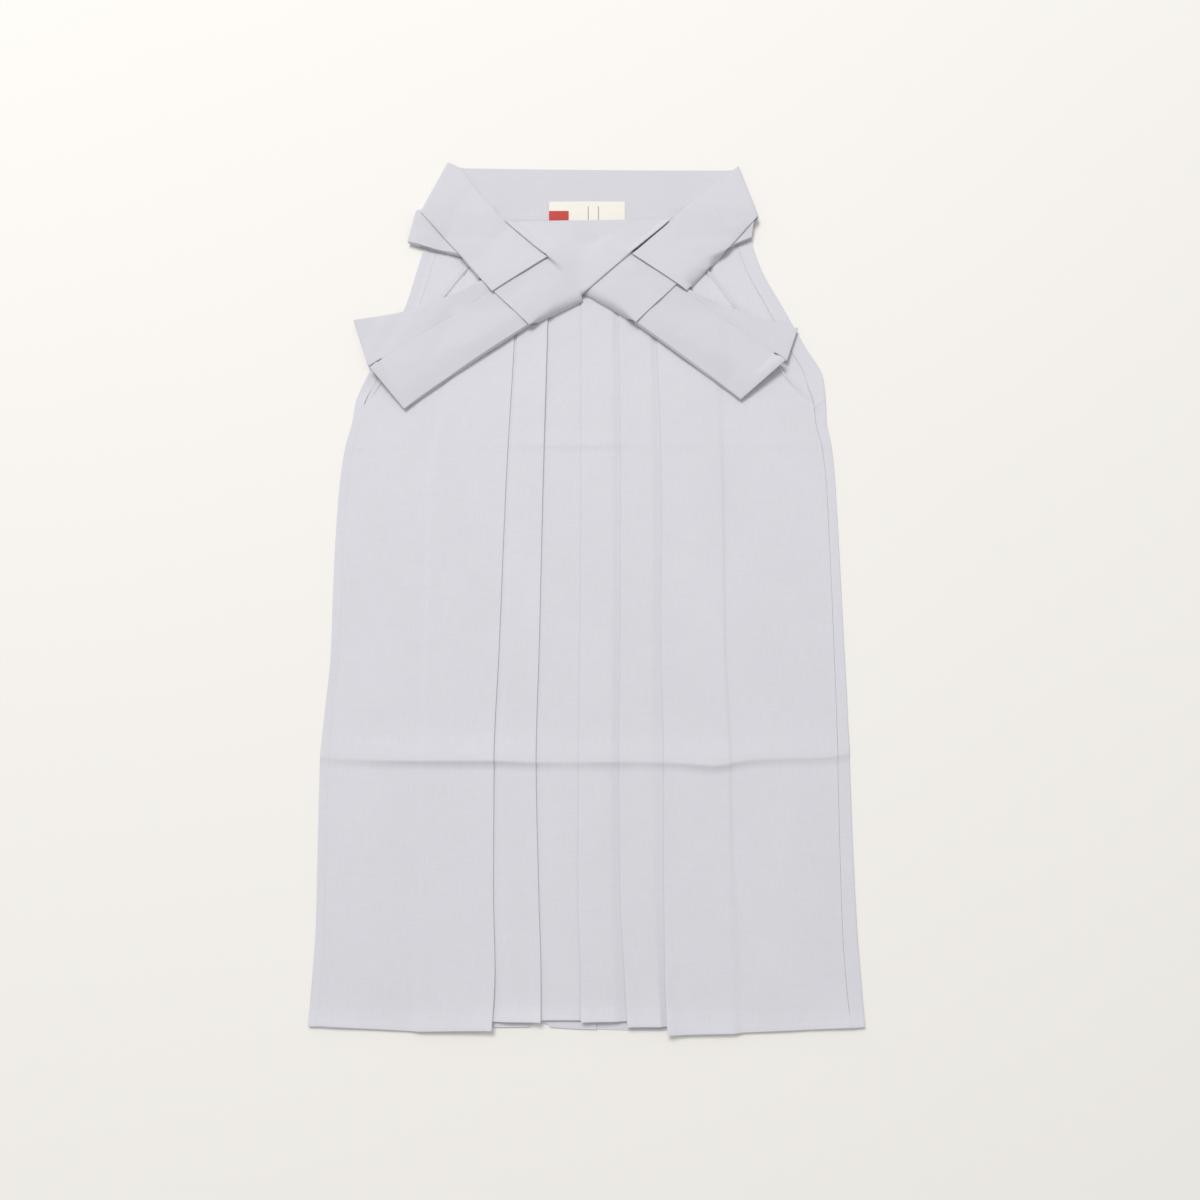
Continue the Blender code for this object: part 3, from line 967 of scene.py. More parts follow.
    def finished_front(self, side: Side, profile: "Profile", ends: tuple[float, float]) -> Sheet:
        """Lay a front's cross-sections on the backs.

        Args:
            side: Which front it is.
            profile: Its cross-sections.
            ends: How round its first and its last edge are.

        Returns:
            The panel.
        """
        x = profile.grids()[0]
        bed = self.bed(x, profile.heights[:, None])
        points = self.place(profile, bed, 1.0 + 0.0 * x, self.fold_lift(profile))
        thickness = self.thick(profile.heights[:, None])
        backs = ("back_left", "back_right")
        name = f"front_{side.word}"
        return Sheet(name, Slot.LEG, points, thickness, backs, held="folded", round_columns=ends)

    def front_left(self) -> Sheet:
        """Make the left front: its side, the two pleats that face right, and the strip under the third.

        Returns:
            The panel.
        """
        heights = self.heights(self.front_top)
        first, second, third = (self.pleats.at(name, heights) for name in ("first", "second", "third"))
        edge = self.front_edge(Side.LEFT, heights)
        tucked = first - self.depths.at("first", heights)
        shoulder = np.maximum(tucked - self.shoulders.at("left", heights), edge + self.seam_margin)
        slope_end = np.maximum(tucked - self.slope_start, shoulder + self.slope_least)
        hems = self.left_hem.at("height", np.array(self.left_hem_places))
        strip, centre = self.strip_hems[:2]
        profile = Profile(heights, self.spacing(heights), self.wall, edge, 0.0, hems[0])
        profile.leave_edge(1)
        profile.run(shoulder, 0.0, steps=25, hem=hems[1])
        profile.run(slope_end, 2.0, steps=9, hem=hems[2], soft=True)
        profile.fold(first, 1, 1.0, steps=24, crowd=1.5, hem=hems[3])
        profile.fold(tucked, -1, 0.0, steps=9, hem=strip)
        profile.run(first + self.edge_lap, 0.0, steps=9, hem=strip)
        second_tucked = second - self.inner_pleat_depth
        profile.run(second_tucked - self.slope_start, 2.0, steps=10, hem=strip, soft=True)
        profile.fold(second, 1, 1.0, steps=13, crowd=1.4, hem=strip)
        profile.fold(second_tucked, -1, 0.0, steps=6, hem=centre)
        profile.run(second, 0.0, steps=6, hem=centre)
        profile.run(third + self.inner_pleat_depth, 0.0, steps=22, hem=centre)
        return self.finished_front(Side.LEFT, profile, (self.seam_round[Side.LEFT], 1.0))

    def front_right(self) -> Sheet:
        """Make the right front: from the seam hidden in the third pleat over the three pleats to its side.

        Returns:
            The panel.
        """
        heights = self.heights(self.front_top)
        third, fourth, fifth = (self.pleats.at(name, heights) for name in ("third", "fourth", "fifth"))
        edge = self.front_edge(Side.RIGHT, heights)
        tucked = fifth + self.depths.at("fifth", heights)
        shoulder = np.minimum(tucked + self.shoulders.at("right", heights), edge - self.seam_margin)
        slope_start = np.minimum(tucked + self.slope_start, shoulder - self.slope_least)
        third_tucked, fourth_tucked = third + self.inner_pleat_depth, fourth + self.inner_pleat_depth
        hems = self.right_hem.at("height", np.array(self.right_hem_places))
        centre, inner, outer = self.strip_hems[1:]
        profile = Profile(heights, self.spacing(heights), self.wall, third_tucked, 1.0, centre)
        profile.fold(third, -1, 2.0, steps=8, hem=inner)
        profile.run(third_tucked + self.slope_start, 2.0, steps=13, crowd=1 / 1.4, hem=inner)
        profile.run(fourth - self.edge_lap, 0.0, steps=10, hem=inner, soft=True)
        profile.fold(fourth_tucked, 1, 1.0, steps=7, hem=inner)
        profile.fold(fourth, -1, 2.0, steps=6, hem=outer)
        profile.run(fourth_tucked + self.slope_start, 2.0, steps=13, crowd=1 / 1.4, hem=outer)
        profile.run(fifth - self.edge_lap, 0.0, steps=9, hem=outer, soft=True)
        profile.fold(tucked, 1, 1.0, steps=9, hem=outer)
        profile.fold(fifth, -1, 2.0, steps=9, hem=hems[0])
        profile.run(slope_start, 2.0, steps=24, crowd=1 / 1.5, hem=hems[1])
        profile.run(shoulder, 0.0, steps=9, hem=hems[2], soft=True)
        profile.finish(edge, 1, 0.0, steps=25, hem=hems[3])
        return self.finished_front(Side.RIGHT, profile, (1.0, self.seam_round[Side.RIGHT]))

    def build_backs(self, pile: Pile, finish: "Finish") -> None:
        """Make both backs and lay them on the pile."""
        for side in Side:
            self.back(side).build_on(pile, finish)

    def build_fronts(self, pile: Pile, finish: "Finish") -> None:
        """Make both fronts and lay them on the pile."""
        self.front_left().build_on(pile, finish)
        self.front_right().build_on(pile, finish)


class Profile:
    """Cross-sections of folded cloth, walked point by point at all heights at once.

    Attributes:
        TURN_POINTS: How many steps a fold's turn has.
        EDGE_INSETS: How far inside a crisp edge its close points lie.
        across: Where each point lies across, at each height.
        layers: The layer that it lies in.
        hems: The height of its hem.
    """

    TURN_POINTS = 6
    EDGE_INSETS = (0.3, 0.8, 1.4, 2.1, 2.9, 3.8, 5.0)

    def __init__(
        self, heights: Grid, pitch: Grid, wall: float, start: Grid, layer: float, hem: float = 0.0
    ) -> None:
        """Start at one edge of the cloth.

        Args:
            heights: The heights of the cross-sections.
            pitch: How far apart layers lie at each height.
            wall: The cloth's thickness.
            start: Where the cloth starts across, at each height.
            layer: The layer that it starts in.
            hem: The height of its hem there.
        """
        self.heights = heights
        self.pitch = pitch
        self.wall = wall
        self.across = [start]
        self.layers = [0 * start + layer]
        self.hems = [0 * start + hem]

    def grids(self) -> tuple[Grid, Grid, Grid]:
        """Where the points lie across, their layers and their hems, each as rows by height."""
        across = np.stack(self.across, axis=1)
        return across, np.stack(self.layers, axis=1), np.stack(self.hems, axis=1)

    def run(
        self,
        end: Grid,
        layer: Grid | float,
        steps: int,
        hem: float = 0.0,
        crowd: float = 1.0,
        soft: bool = False,
    ) -> None:
        """Go straight on.

        Args:
            end: Where to, across, at each height.
            layer: The layer at the end.
            steps: In how many steps.
            hem: The hem's height at the end.
            crowd: Above 1 the points crowd towards the end, and below 1 towards the start.
            soft: Whether a change of layer starts and ends softly.
        """
        across, layers, hems = self.across[-1], self.layers[-1], self.hems[-1]
        for step in range(1, steps + 1):
            share = step / steps
            share = 1 - (1 - share) ** crowd if crowd > 1 else share ** (1 / crowd)
            self.across.append(across + (end - across) * share)
            self.layers.append(layers + (layer - layers) * (ease(share) if soft else share))
            self.hems.append(hems + (hem - hems) * share)

    def leave_edge(self, facing: int) -> None:
        """Add the close points that keep the first edge crisp.

        Args:
            facing: The way that the cloth goes from there along X.
        """
        for inset in self.EDGE_INSETS:
            self.across.append(self.across[0] + facing * inset)
            self.layers.append(self.layers[0])
            self.hems.append(self.hems[0])

    def finish(self, end: Grid, facing: int, layer: Grid | float, steps: int, hem: float = 0.0) -> None:
        """Go straight to the last edge, with close points that keep it crisp.

        Args:
            end: Where the edge lies across, at each height.
            facing: The way that it points along X.
            layer: The layer there.
            steps: In how many steps to go.
            hem: The hem's height there.
        """
        self.run(end - facing * self.EDGE_INSETS[-1], layer, steps, hem)
        for inset in (*self.EDGE_INSETS[-2::-1], 0.0):
            self.across.append(end - facing * inset)
            self.layers.append(self.layers[-1])
            self.hems.append(self.hems[-1])

    def fold(
        self, edge: Grid, facing: int, layer: float, steps: int, crowd: float = 1.0, hem: float = 0.0
    ) -> None:
        """Go straight to a fold and round it into another layer.

        Args:
            edge: Where the fold's outside lies across, at each height.
            facing: The way that the fold points along X.
            layer: The layer after the fold.
            steps: In how many steps to go to the fold.
            crowd: As for a straight run.
            hem: The hem's height at the fold.
        """
        start = float(self.layers[-1][0])
        radius = self.pitch * abs(layer - start) / 2
        centre = edge - facing * (radius + self.wall / 2)
        self.run(centre, start, steps, hem, crowd)
        middle = (start + layer) / 2
        for point in range(1, self.TURN_POINTS + 1):
            angle = math.pi * point / self.TURN_POINTS
            self.across.append(centre + facing * radius * math.sin(angle))
            self.layers.append(0 * centre + middle + (start - middle) * math.cos(angle))
            self.hems.append(0 * centre + hem)


# ---------------------------------------------------------------------------------------------------------
# The waistbands and the ties
# ---------------------------------------------------------------------------------------------------------


@dataclass(frozen=True)
class Strip:
    """A flat band or tie, drawn by its cross-sections from one end to the other.

    Attributes:
        name: The piece's name.
        sections: For each section its far edge and its near edge in plan, as far X, far Y, near X, near Y.
        rests_on: What it lies on.
        thickness: How thick one leaf is.
        crown: How far the middle of the strip stands above its edges.
        near_roll: At each section, how far from its near edge the strip starts to roll down.
        far_roll: The same for its far edge.
        pressed: At each section, how far the strip follows what is under it, from 0 (bridging it) to 1.
        over: At each section of a wrap that holds a tie, how far it lies over the tie, from 0 to 1.
        slot: Its material slot.
        STEP: How far apart the cross-sections lie along the strip.
        EDGE_PLACES: How far inside each edge its close points lie, on a strip of the nominal width.
        NOMINAL_WIDTH: That width.
        MIDDLE_STEPS: How many steps lie between them.
        CLEARANCE: How far the strip stays above what it lies on.
        FIRST_STEPS: Where the close cross-sections at both ends lie, as shares of one step.
        TURN_POINTS: How many steps a turn from leaf to leaf has.
        FIRST_ROW: The first cross-section that isn't part of the turn at the strip's end.
    """

    STEP = 2.8
    EDGE_PLACES = (0.0, 0.35, 0.9, 1.6, 2.5, 3.7, 5.3, 7.4, 10.0)
    NOMINAL_WIDTH = 60.0
    MIDDLE_STEPS = 14
    CLEARANCE = 0.12
    FIRST_STEPS = (0.12, 0.35, 0.65)
    TURN_POINTS = 8
    FIRST_ROW = 5

    name: str
    sections: tuple[tuple[float, float, float, float], ...]
    rests_on: tuple[str, ...]
    thickness: float = 1.4
    crown: float = 0.25
    near_roll: tuple[float, ...] = ()
    far_roll: tuple[float, ...] = ()
    pressed: tuple[float, ...] = ()
    over: tuple[float, ...] = ()
    slot: Slot = Slot.TIE

    def shares(self) -> Grid:
        """Place the points across the strip, closer together at both edges.

        Returns:
            Their places, from 0 at the far edge to 1 at the near one.
        """
        edge = np.array(self.EDGE_PLACES) / self.NOMINAL_WIDTH
        middle = np.linspace(edge[-1], 1 - edge[-1], self.MIDDLE_STEPS + 1)[1:-1]
        return np.concatenate([edge, middle, 1 - edge[::-1]])

    def rows(self) -> Grid:
        """Set the cross-sections at close steps.

        Returns:
            For each its far X, far Y, near X, near Y, near roll, far roll, pressed and over.
        """
        none = (0.0,) * len(self.sections)
        extras = [extra or none for extra in (self.near_roll, self.far_roll, self.pressed, self.over)]
        given = np.column_stack([self.sections, *extras])
        found = []
        for before, after in zip(given, given[1:]):
            longest = max(math.dist(before[:2], after[:2]), math.dist(before[2:4], after[2:4]))
            steps = max(1, round(longest / self.STEP))
            found += [before + (after - before) * step / steps for step in range(steps)]
        found.append(given[-1])
        first = [found[0] + (found[1] - found[0]) * share for share in self.FIRST_STEPS]
        last = [found[-1] + (found[-2] - found[-1]) * share for share in self.FIRST_STEPS]
        return np.array([found[0], *first, *found[1:-1], *last[::-1], found[-1]])

    def plan(self) -> Grid:
        """Place the strip's points in plan.

        Returns:
            The grid of X and Y, as rows along the strip and columns from its far to its near edge.
        """
        rows = self.rows()
        shares = self.shares()[:, None]
        return rows[:, None, :2] * (1 - shares) + rows[:, None, 2:4] * shares

    def roll(self, inside: Grid, reach: Grid) -> Grid:
        """A quarter of an ellipse, from 0 at an edge to 1 at the end of its reach."""
        return np.sqrt(1 - (1 - np.clip(inside / np.maximum(reach, 0.01), 0, 1)) ** 2)

    def level(self, pile: Pile) -> Grid:
        """Drape the strip over a pile.

        Args:
            pile: What it is laid on.

        Returns:
            The height of its underside at each point.
        """
        plan, rows, shares = self.plan(), self.rows(), self.shares()
        low = pile.under(plan)
        draped = pile.rest(plan) * (1 - rows[:, 6:7]) + low * rows[:, 6:7]
        draped = draped + self.crown * (1 - (2 * shares - 1) ** 4)
        width = np.linalg.norm(rows[:, :2] - rows[:, 2:4], axis=1)[:, None]
        round_off = self.roll((1 - shares) * width, rows[:, 4:5]) * self.roll(shares * width, rows[:, 5:6])
        return self.CLEARANCE + low + (draped - low) * round_off

    def sheet(self, pile: Pile) -> Sheet:
        """Lay the strip down as a single leaf.

        Args:
            pile: What has been laid down so far.

        Returns:
            The leaf.
        """
        level = self.level(pile) + self.thickness / 2
        middle = np.concatenate([self.plan(), level[..., None]], axis=-1)
        return self.finished(middle, self.thickness, "laid")

    def finished(self, middle: Grid, thickness: Grid | float, held: str) -> Sheet:
        """Turn a grid of middle points so that its top side faces up.

        Args:
            middle: The middle points.
            thickness: The cloth's thickness at each of them.
            held: How the piece lies.

        Returns:
            The sheet round them.
        """
        plan = self.plan()
        across, along = plan[0, -1] - plan[0, 0], plan[1, 0] - plan[0, 0]
        thickness = np.broadcast_to(thickness, middle.shape[:2])
        if across[0] * along[1] - across[1] * along[0] < 0:
            middle, thickness = middle[:, ::-1], thickness[:, ::-1]
        return Sheet(self.name, self.slot, middle, thickness, self.rests_on, held)

    def build(self, pile: Pile, finish: "Finish") -> None:
        """Make the piece and lay it on the pile."""
        self.sheet(pile).build_on(pile, finish)

    def hold(self, tie: "Strip", pile: Pile, finish: "Finish") -> None:
        """Make this wrap and a tie that lies on its first part and under the rest of it.

        Args:
            tie: The tie.
            pile: What has been laid down so far.
            finish: The material of both.
        """
        without_wrap = copy.deepcopy(pile)
        over = self.rows()[:, 7]
        first = self.sheet(pile)
        pile.lay(first.top[over == 0])
        held = tie.sheet(pile)
        held.build(finish)
        without_wrap.lay(held.top)
        rest = self.sheet(without_wrap)
        middle = first.middle + (rest.middle - first.middle) * over[:, None, None]
        Sheet(self.name, self.slot, middle, self.thickness, self.rests_on).build(finish)


@dataclass(frozen=True)
class FoldedStrip(Strip):
    """A tie folded to and fro in a flat bundle, whose outer end is its first section.

    Attributes:
        leaves: How many leaves lie on each other.
        leaf_gap: How far apart they lie.
        puff: How much further apart they stand at the outer end.
        lift: How far the outer end stands up besides.
        reach: Over what length the outer end's puff and lift die out.
        stray: How far the lower leaves stray sideways.
        recess: How much shorter each pair of leaves is than the pair on it.
        thin_far: How much thinner the bundle is at its far edge, from 0 to 1.
        thin_reach: Over what width it gets thinner.
        slit: For what length from its outer end the far edge stays thick.
        SLIT_FADE: Over what length it gets thin from there.
        STRAY_WAVE: How long the straying's waves are.
        STRAY_TURN: How far they are shifted from leaf to leaf.
        STRAY_FADE: Over what length from the outer end the leaves start to stray.
        TURN_ROOM: How far short of the end a turn starts, in thicknesses.
        TURN_OUT: How far a turn bulges at most, in thicknesses.
    """

    SLIT_FADE = 8.0
    STRAY_WAVE = 41.0
    STRAY_TURN = 2.1
    STRAY_FADE = 30.0
    TURN_ROOM = 1.3
    TURN_OUT = 0.8

    leaves: int = 4
    leaf_gap: float = 0.2
    puff: float = 0.25
    lift: float = 0.5
    reach: float = 18.0
    stray: float = 0.8
    recess: float = 1.2
    thin_far: float = 0.0
    thin_reach: float = 34.0
    slit: float = 12.0

    def turn(self, start: Grid, ahead: Grid, rise: Grid) -> list[Grid]:
        """Go round one turn, from a leaf to the leaf above it.

        Args:
            start: The last points of the lower leaf.
            ahead: The way that the turn points, in plan.
            rise: How far up the upper leaf lies.

        Returns:
            The rows of points round the turn.
        """
        out = np.minimum(rise / 2, self.thickness * self.TURN_OUT)[..., None]
        found = []
        for point in range(self.TURN_POINTS + 1):
            angle = math.pi * point / self.TURN_POINTS
            up = rise[..., None] * (1 - math.cos(angle)) / 2
            found.append(start + np.concatenate([ahead * out * math.sin(angle), up], axis=-1))
        return found

    def sheet(self, pile: Pile) -> Sheet:
        """Lay the tie down as one long leaf, folded to and fro.

        Args:
            pile: What has been laid down so far.

        Returns:
            The leaf.
        """
        plan = self.plan()
        ahead = tangents_of(plan, 0)
        place = np.linalg.norm(plan - plan[:1], axis=-1)
        across = plan[:, -1:] - plan[:, :1]
        width = length_of(across)
        from_far = self.shares() * width[..., 0]
        past_slit = ease((place - self.slit) / self.SLIT_FADE)
        thin = ease(1 - from_far / self.thin_reach) * past_slit * self.thin_far
        end = np.exp(-((place / self.reach) ** 2))
        low = self.level(pile) + self.thickness * (1 - thin) / 2 + self.lift * end
        rise = (self.thickness + self.leaf_gap) * (1 - thin) + self.puff * end
        kept = slice(self.FIRST_ROW, None)
        middle, thick = [], []
        for leaf in range(self.leaves):
            above = self.leaves - 1 - leaf
            wave = np.sin(place / self.STRAY_WAVE + self.STRAY_TURN * leaf + len(self.name))
            wander = min(above, 1) * self.stray * wave
            shift = across / width * (wander * ease(place / self.STRAY_FADE))[..., None]
            points = np.concatenate([plan + shift, (low + rise * leaf)[..., None]], axis=-1)
            outwards = leaf % 2 == 0
            rows = list(points[kept][::-1] if outwards else points[kept])
            thickness = list((self.thickness * (1 - thin))[kept][:: -1 if outwards else 1])
            if above:
                edge = 0 if outwards else -1
                inset = self.thickness * self.TURN_ROOM + self.recess * (above // 2)
                start = np.concatenate([plan[edge], (low + rise * leaf)[edge][..., None]], axis=-1)
                way = -ahead[edge] if outwards else ahead[edge]
                start[..., :2] -= way * inset
                turned = self.turn(start, way, rise[edge])
                rows += turned
                thickness += [self.thickness * (1 - thin)[edge]] * len(turned)
            middle += rows
            thick += thickness
        return self.finished(np.array(middle), np.array(thick), "folded")


@dataclass(frozen=True)
class TurnedStrip(Strip):
    """A back tie, which comes out of the waistband's end, turns over a slanting fold and crosses the front.

    Attributes:
        foot: How far the tie reaches back under the fold to meet the waistband.
        foot_level: The middle height of the waistband that it comes out of.
        end_lift: How far the tie's end stands up.
        end_reach: Over what length that dies out.
        TURN_OUT: How far the fold bulges at least and at most, in thicknesses.
    """

    TURN_OUT = (0.6, 1.2)

    foot: float = 5.0
    foot_level: float = 0.8
    end_lift: float = 0.5
    end_reach: float = 7.0

    def sheet(self, pile: Pile) -> Sheet:
        """Lay the tie down as one leaf, from the waistband's end round the fold.

        Args:
            pile: What has been laid down so far.

        Returns:
            The leaf.
        """
        plan = self.plan()
        ahead = tangents_of(plan, 0)[:1]
        from_end = np.linalg.norm(plan - plan[-1:], axis=-1)
        lift = self.end_lift * np.exp(-((from_end / self.end_reach) ** 2))
        level = self.level(pile) + self.thickness / 2 + lift
        upper = np.concatenate([plan, level[..., None]], axis=-1)[self.FIRST_ROW :]
        radius = (upper[:1, :, 2:] - self.foot_level) / 2
        out = np.clip(radius, *(self.thickness * share for share in self.TURN_OUT))
        centre = plan[:1] + ahead * (out + self.thickness / 2)
        foot = [centre + ahead * self.foot * share for share in (1.0, 0.5)]
        lower = [np.concatenate([spot, 0 * radius + self.foot_level], axis=-1) for spot in foot]
        turn = []
        for point in range(self.TURN_POINTS + 1):
            angle = math.pi * point / self.TURN_POINTS
            spot = centre - ahead * out * math.sin(angle)
            turn.append(np.concatenate([spot, self.foot_level + radius * (1 - math.cos(angle))], axis=-1))
        return self.finished(np.concatenate([*lower, *turn, upper]), self.thickness, "folded")


@dataclass(frozen=True)
class Waist:
    """The waistbands, the label and the ties, with a method for each step of laying them down.

    Attributes:
        band: The thickness of the waistbands, back ties and wraps.
        leaf: The thickness of one leaf of the folded ties.
        tape: The thickness of the label.
    """

    band: float = 1.4
    leaf: float = 1.0
    tape: float = 0.35

    def bands(self) -> tuple[Strip, ...]:
        """Draw the back waistband and the label on it.

        Returns:
            Both strips.
        """
        back = (
            (-160.5, 987.0, -187.0, 926.0),
            (-146.0, 984.0, -170.0, 918.0),
            (-47.0, 982.4, -47.0, 916.0),
            (75.7, 981.3, 75.7, 916.0),
            (163.0, 981.2, 178.0, 917.0),
            (172.0, 981.8, 190.5, 919.0),
        )
        label = ((-45.4, 942.0, -45.4, 906.0), (-1.0, 942.3, -1.0, 906.0), (43.6, 942.0, 43.6, 906.0))
        return (
            Strip("back_waistband", back, ("floor", "back_left", "back_right"), self.band, crown=0.3),
            Strip("label", label, ("back_waistband",), self.tape, crown=0.1, slot=Slot.LABEL),
        )

    def front_band(self) -> Strip:
        """Draw the front waistband, most of which lies under the ties.

        Returns:
            The strip.
        """
        front = (
            (-141.0, 912.0, -134.0, 862.0),
            (-100.0, 913.4, -100.0, 859.4),
            (0.0, 915.5, 0.0, 859.4),
            (98.0, 917.4, 98.0, 859.4),
            (139.5, 918.4, 139.5, 859.4),
        )
        return Strip("front_waistband", front, ("back_left", "back_right"), self.band)

    def loops(self) -> tuple[Strip, ...]:
        """Draw the two small loops of tie that stick out beside the waist.

        Returns:
            The left and the right one.
        """
        left = (
            (-201.6, 927.8, -211.0, 890.4),
            (-176.0, 933.0, -180.0, 881.8),
            (-150.0, 932.0, -151.0, 875.0),
            (-112.0, 926.0, -116.0, 866.0),
        )
        right = (
            (195.8, 921.6, 192.2, 896.0),
            (178.0, 929.0, 171.0, 887.4),
            (152.0, 930.0, 146.0, 876.0),
            (112.0, 926.0, 116.0, 866.0),
        )
        below = ("back_waistband", "front_waistband")
        return (
            FoldedStrip("side_loop_left", left, below, self.leaf, lift=1.9, reach=40.0),
            FoldedStrip("side_loop_right", right, below, self.leaf, lift=0.9, reach=40.0),
        )

    def arms(self) -> tuple[Strip, ...]:
        """Draw the four folded arms of the cross, two on each side.

        Returns:
            The two lower arms and then the two on them.
        """
        left_under = (
            (-271.5, 794.5, -252.6, 738.6),
            (-257.0, 797.0, -238.2, 747.4),
            (-212.0, 804.4, -190.0, 752.0),
            (-170.7, 818.9, -146.0, 770.0),
            (-130.4, 837.2, -104.0, 795.0),
            (-62.0, 868.0, -58.0, 822.0),
        )
        left_over = (
            (-249.4, 735.0, -210.5, 688.2),
            (-237.5, 745.4, -197.0, 698.8),
            (-204.0, 767.7, -162.0, 724.2),
            (-157.0, 797.5, -115.0, 757.0),
            (-110.3, 828.0, -67.3, 788.6),
            (-98.0, 837.0, -60.0, 801.0),
            (-60.0, 861.0, -36.0, 830.0),
        )
        right_under = (
            (243.5, 783.7, 229.8, 744.6),
            (233.0, 787.0, 216.4, 754.8),
            (217.4, 792.3, 196.0, 746.0),
            (174.9, 805.6, 150.0, 756.0),
            (115.2, 831.1, 88.0, 790.0),
            (56.0, 866.0, 40.0, 824.0),
        )
        right_over = (
            (227.0, 743.0, 176.5, 699.3),
            (214.6, 752.6, 166.0, 707.8),
            (180.0, 778.6, 136.0, 730.5),
            (138.0, 808.6, 96.0, 761.0),
            (96.0, 838.4, 56.0, 790.5),
            (88.0, 846.0, 50.0, 804.0),
            (50.0, 868.0, 26.0, 832.0),
        )
        fronts = ("front_left", "front_right")
        thinned = {"thin_far": 0.96, "thin_reach": 48.0, "slit": 7.0}
        return (
            FoldedStrip("left_arm_under", left_under, fronts, self.leaf),
            FoldedStrip("right_arm_under", right_under, fronts, self.leaf),
            FoldedStrip("left_arm_over", left_over, (*fronts, "left_arm_under"), self.leaf, **thinned),
            FoldedStrip("right_arm_over", right_over, (*fronts, "right_arm_under"), self.leaf, **thinned),
        )

    def right_wrap(self) -> Strip:
        """Draw the wrap over the right arm.

        Returns:
            The strip.
        """
        sections = (
            (105.7, 839.1, 55.9, 790.2),
            (79.9, 857.9, 27.0, 809.0),
            (55.5, 876.1, -1.2, 825.6),
            (28.0, 892.0, -28.0, 842.0),
        )
        return Strip(
            "wrap_right",
            sections,
            ("right_arm_over",),
            self.band,
            near_roll=(2.0, 9.0, 10.0, 10.0),
            far_roll=(4.0, 4.0, 4.0, 4.0),
        )

    def right_back_tie(self) -> Strip:
        """Draw the right back tie, whose end lies on the right wrap.

        Returns:
            The strip.
        """
        sections = (
            (178.6, 986.3, 200.0, 921.5),
            (168.0, 977.3, 190.0, 910.7),
            (140.0, 951.5, 176.0, 895.0),
            (110.0, 927.0, 161.9, 879.8),
            (80.0, 899.0, 138.0, 855.0),
            (52.7, 872.4, 114.7, 828.6),
        )
        below = ("side_loop_right", "wrap_right")
        slope = (0.0, 3.0, 9.0, 14.0, 16.0, 12.0)
        return TurnedStrip("back_tie_right", sections, below, self.band, near_roll=slope)

    def centre_wrap(self) -> Strip:
        """Draw the wrap over the crossing, which opens out up to the back waistband.

        Returns:
            The strip.
        """
        sections = (
            (-112.5, 831.5, -67.2, 787.0),
            (-82.5, 854.5, -29.2, 806.5),
            (-47.6, 869.4, -6.3, 818.5),
            (-46.6, 869.4, -7.4, 824.5),
            (-48.2, 870.6, 1.5, 831.0),
            (-62.0, 882.4, 16.0, 843.4),
            (-79.0, 898.5, 44.0, 868.6),
            (-96.5, 914.8, 98.5, 918.4),
        )
        return Strip(
            "wrap_centre",
            sections,
            ("left_arm_over", "wrap_right", "back_tie_right"),
            self.band,
            near_roll=(2.0, 10.0, 12.0, 8.0, 2.0, 0.0, 0.0, 0.0),
            far_roll=(4.0, 4.0, 0.0, 0.0, 0.0, 0.0, 0.0, 0.0),
            pressed=(0.0, 0.0, 0.0, 0.0, 0.0, 0.0, 0.3, 1.0),
            over=(0.0, 0.0, 0.0, 0.3, 1.0, 1.0, 1.0, 1.0),
        )

    def left_back_tie(self) -> Strip:
        """Draw the left back tie, whose end lies on the wrap over the crossing and under its opened part.

        Returns:
            The strip.
        """
        sections = (
            (-166.3, 991.4, -195.9, 926.0),
            (-148.9, 982.0, -184.0, 913.0),
            (-128.0, 950.0, -166.0, 892.5),
            (-104.0, 921.5, -148.1, 872.4),
            (-74.0, 897.0, -129.0, 849.0),
            (-47.2, 868.8, -110.2, 826.8),
        )
        return TurnedStrip("back_tie_left", sections, ("side_loop_left", "wrap_centre"), self.band)


# ---------------------------------------------------------------------------------------------------------
# Finishes
# ---------------------------------------------------------------------------------------------------------


class Value:
    """A number that varies over a surface, as a shader socket that takes part in sums."""

    def __init__(self, graph: "Graph", socket: bpy.types.NodeSocket) -> None:
        """Wrap a node's output."""
        self.graph = graph
        self.socket = socket

    def maths(self, operation: str, *terms: "Value | float") -> "Value":
        """A Math node on these terms."""
        return self.graph.node("ShaderNodeMath", {"operation": operation}, dict(enumerate(terms)))

    def __add__(self, other: "Value | float") -> "Value":
        """The sum."""
        return self.maths("ADD", self, other)

    __radd__ = __add__

    def __sub__(self, other: "Value | float") -> "Value":
        """The difference."""
        return self.maths("SUBTRACT", self, other)

    def __rsub__(self, other: float) -> "Value":
        """The difference, the other way round."""
        return self.maths("SUBTRACT", other, self)

    def __mul__(self, other: "Value | float") -> "Value":
        """The product."""
        return self.maths("MULTIPLY", self, other)

    __rmul__ = __mul__

    def __gt__(self, other: float) -> "Value":
        """1 where it is greater, 0 elsewhere."""
        return self.maths("GREATER_THAN", self, other)

    def __lt__(self, other: float) -> "Value":
        """1 where it is less, 0 elsewhere."""
        return self.maths("LESS_THAN", self, other)

    def sine(self) -> "Value":
        """The sine of it."""
        return self.maths("SINE", self)

    def size(self) -> "Value":
        """It without its sign."""
        return self.maths("ABSOLUTE", self)


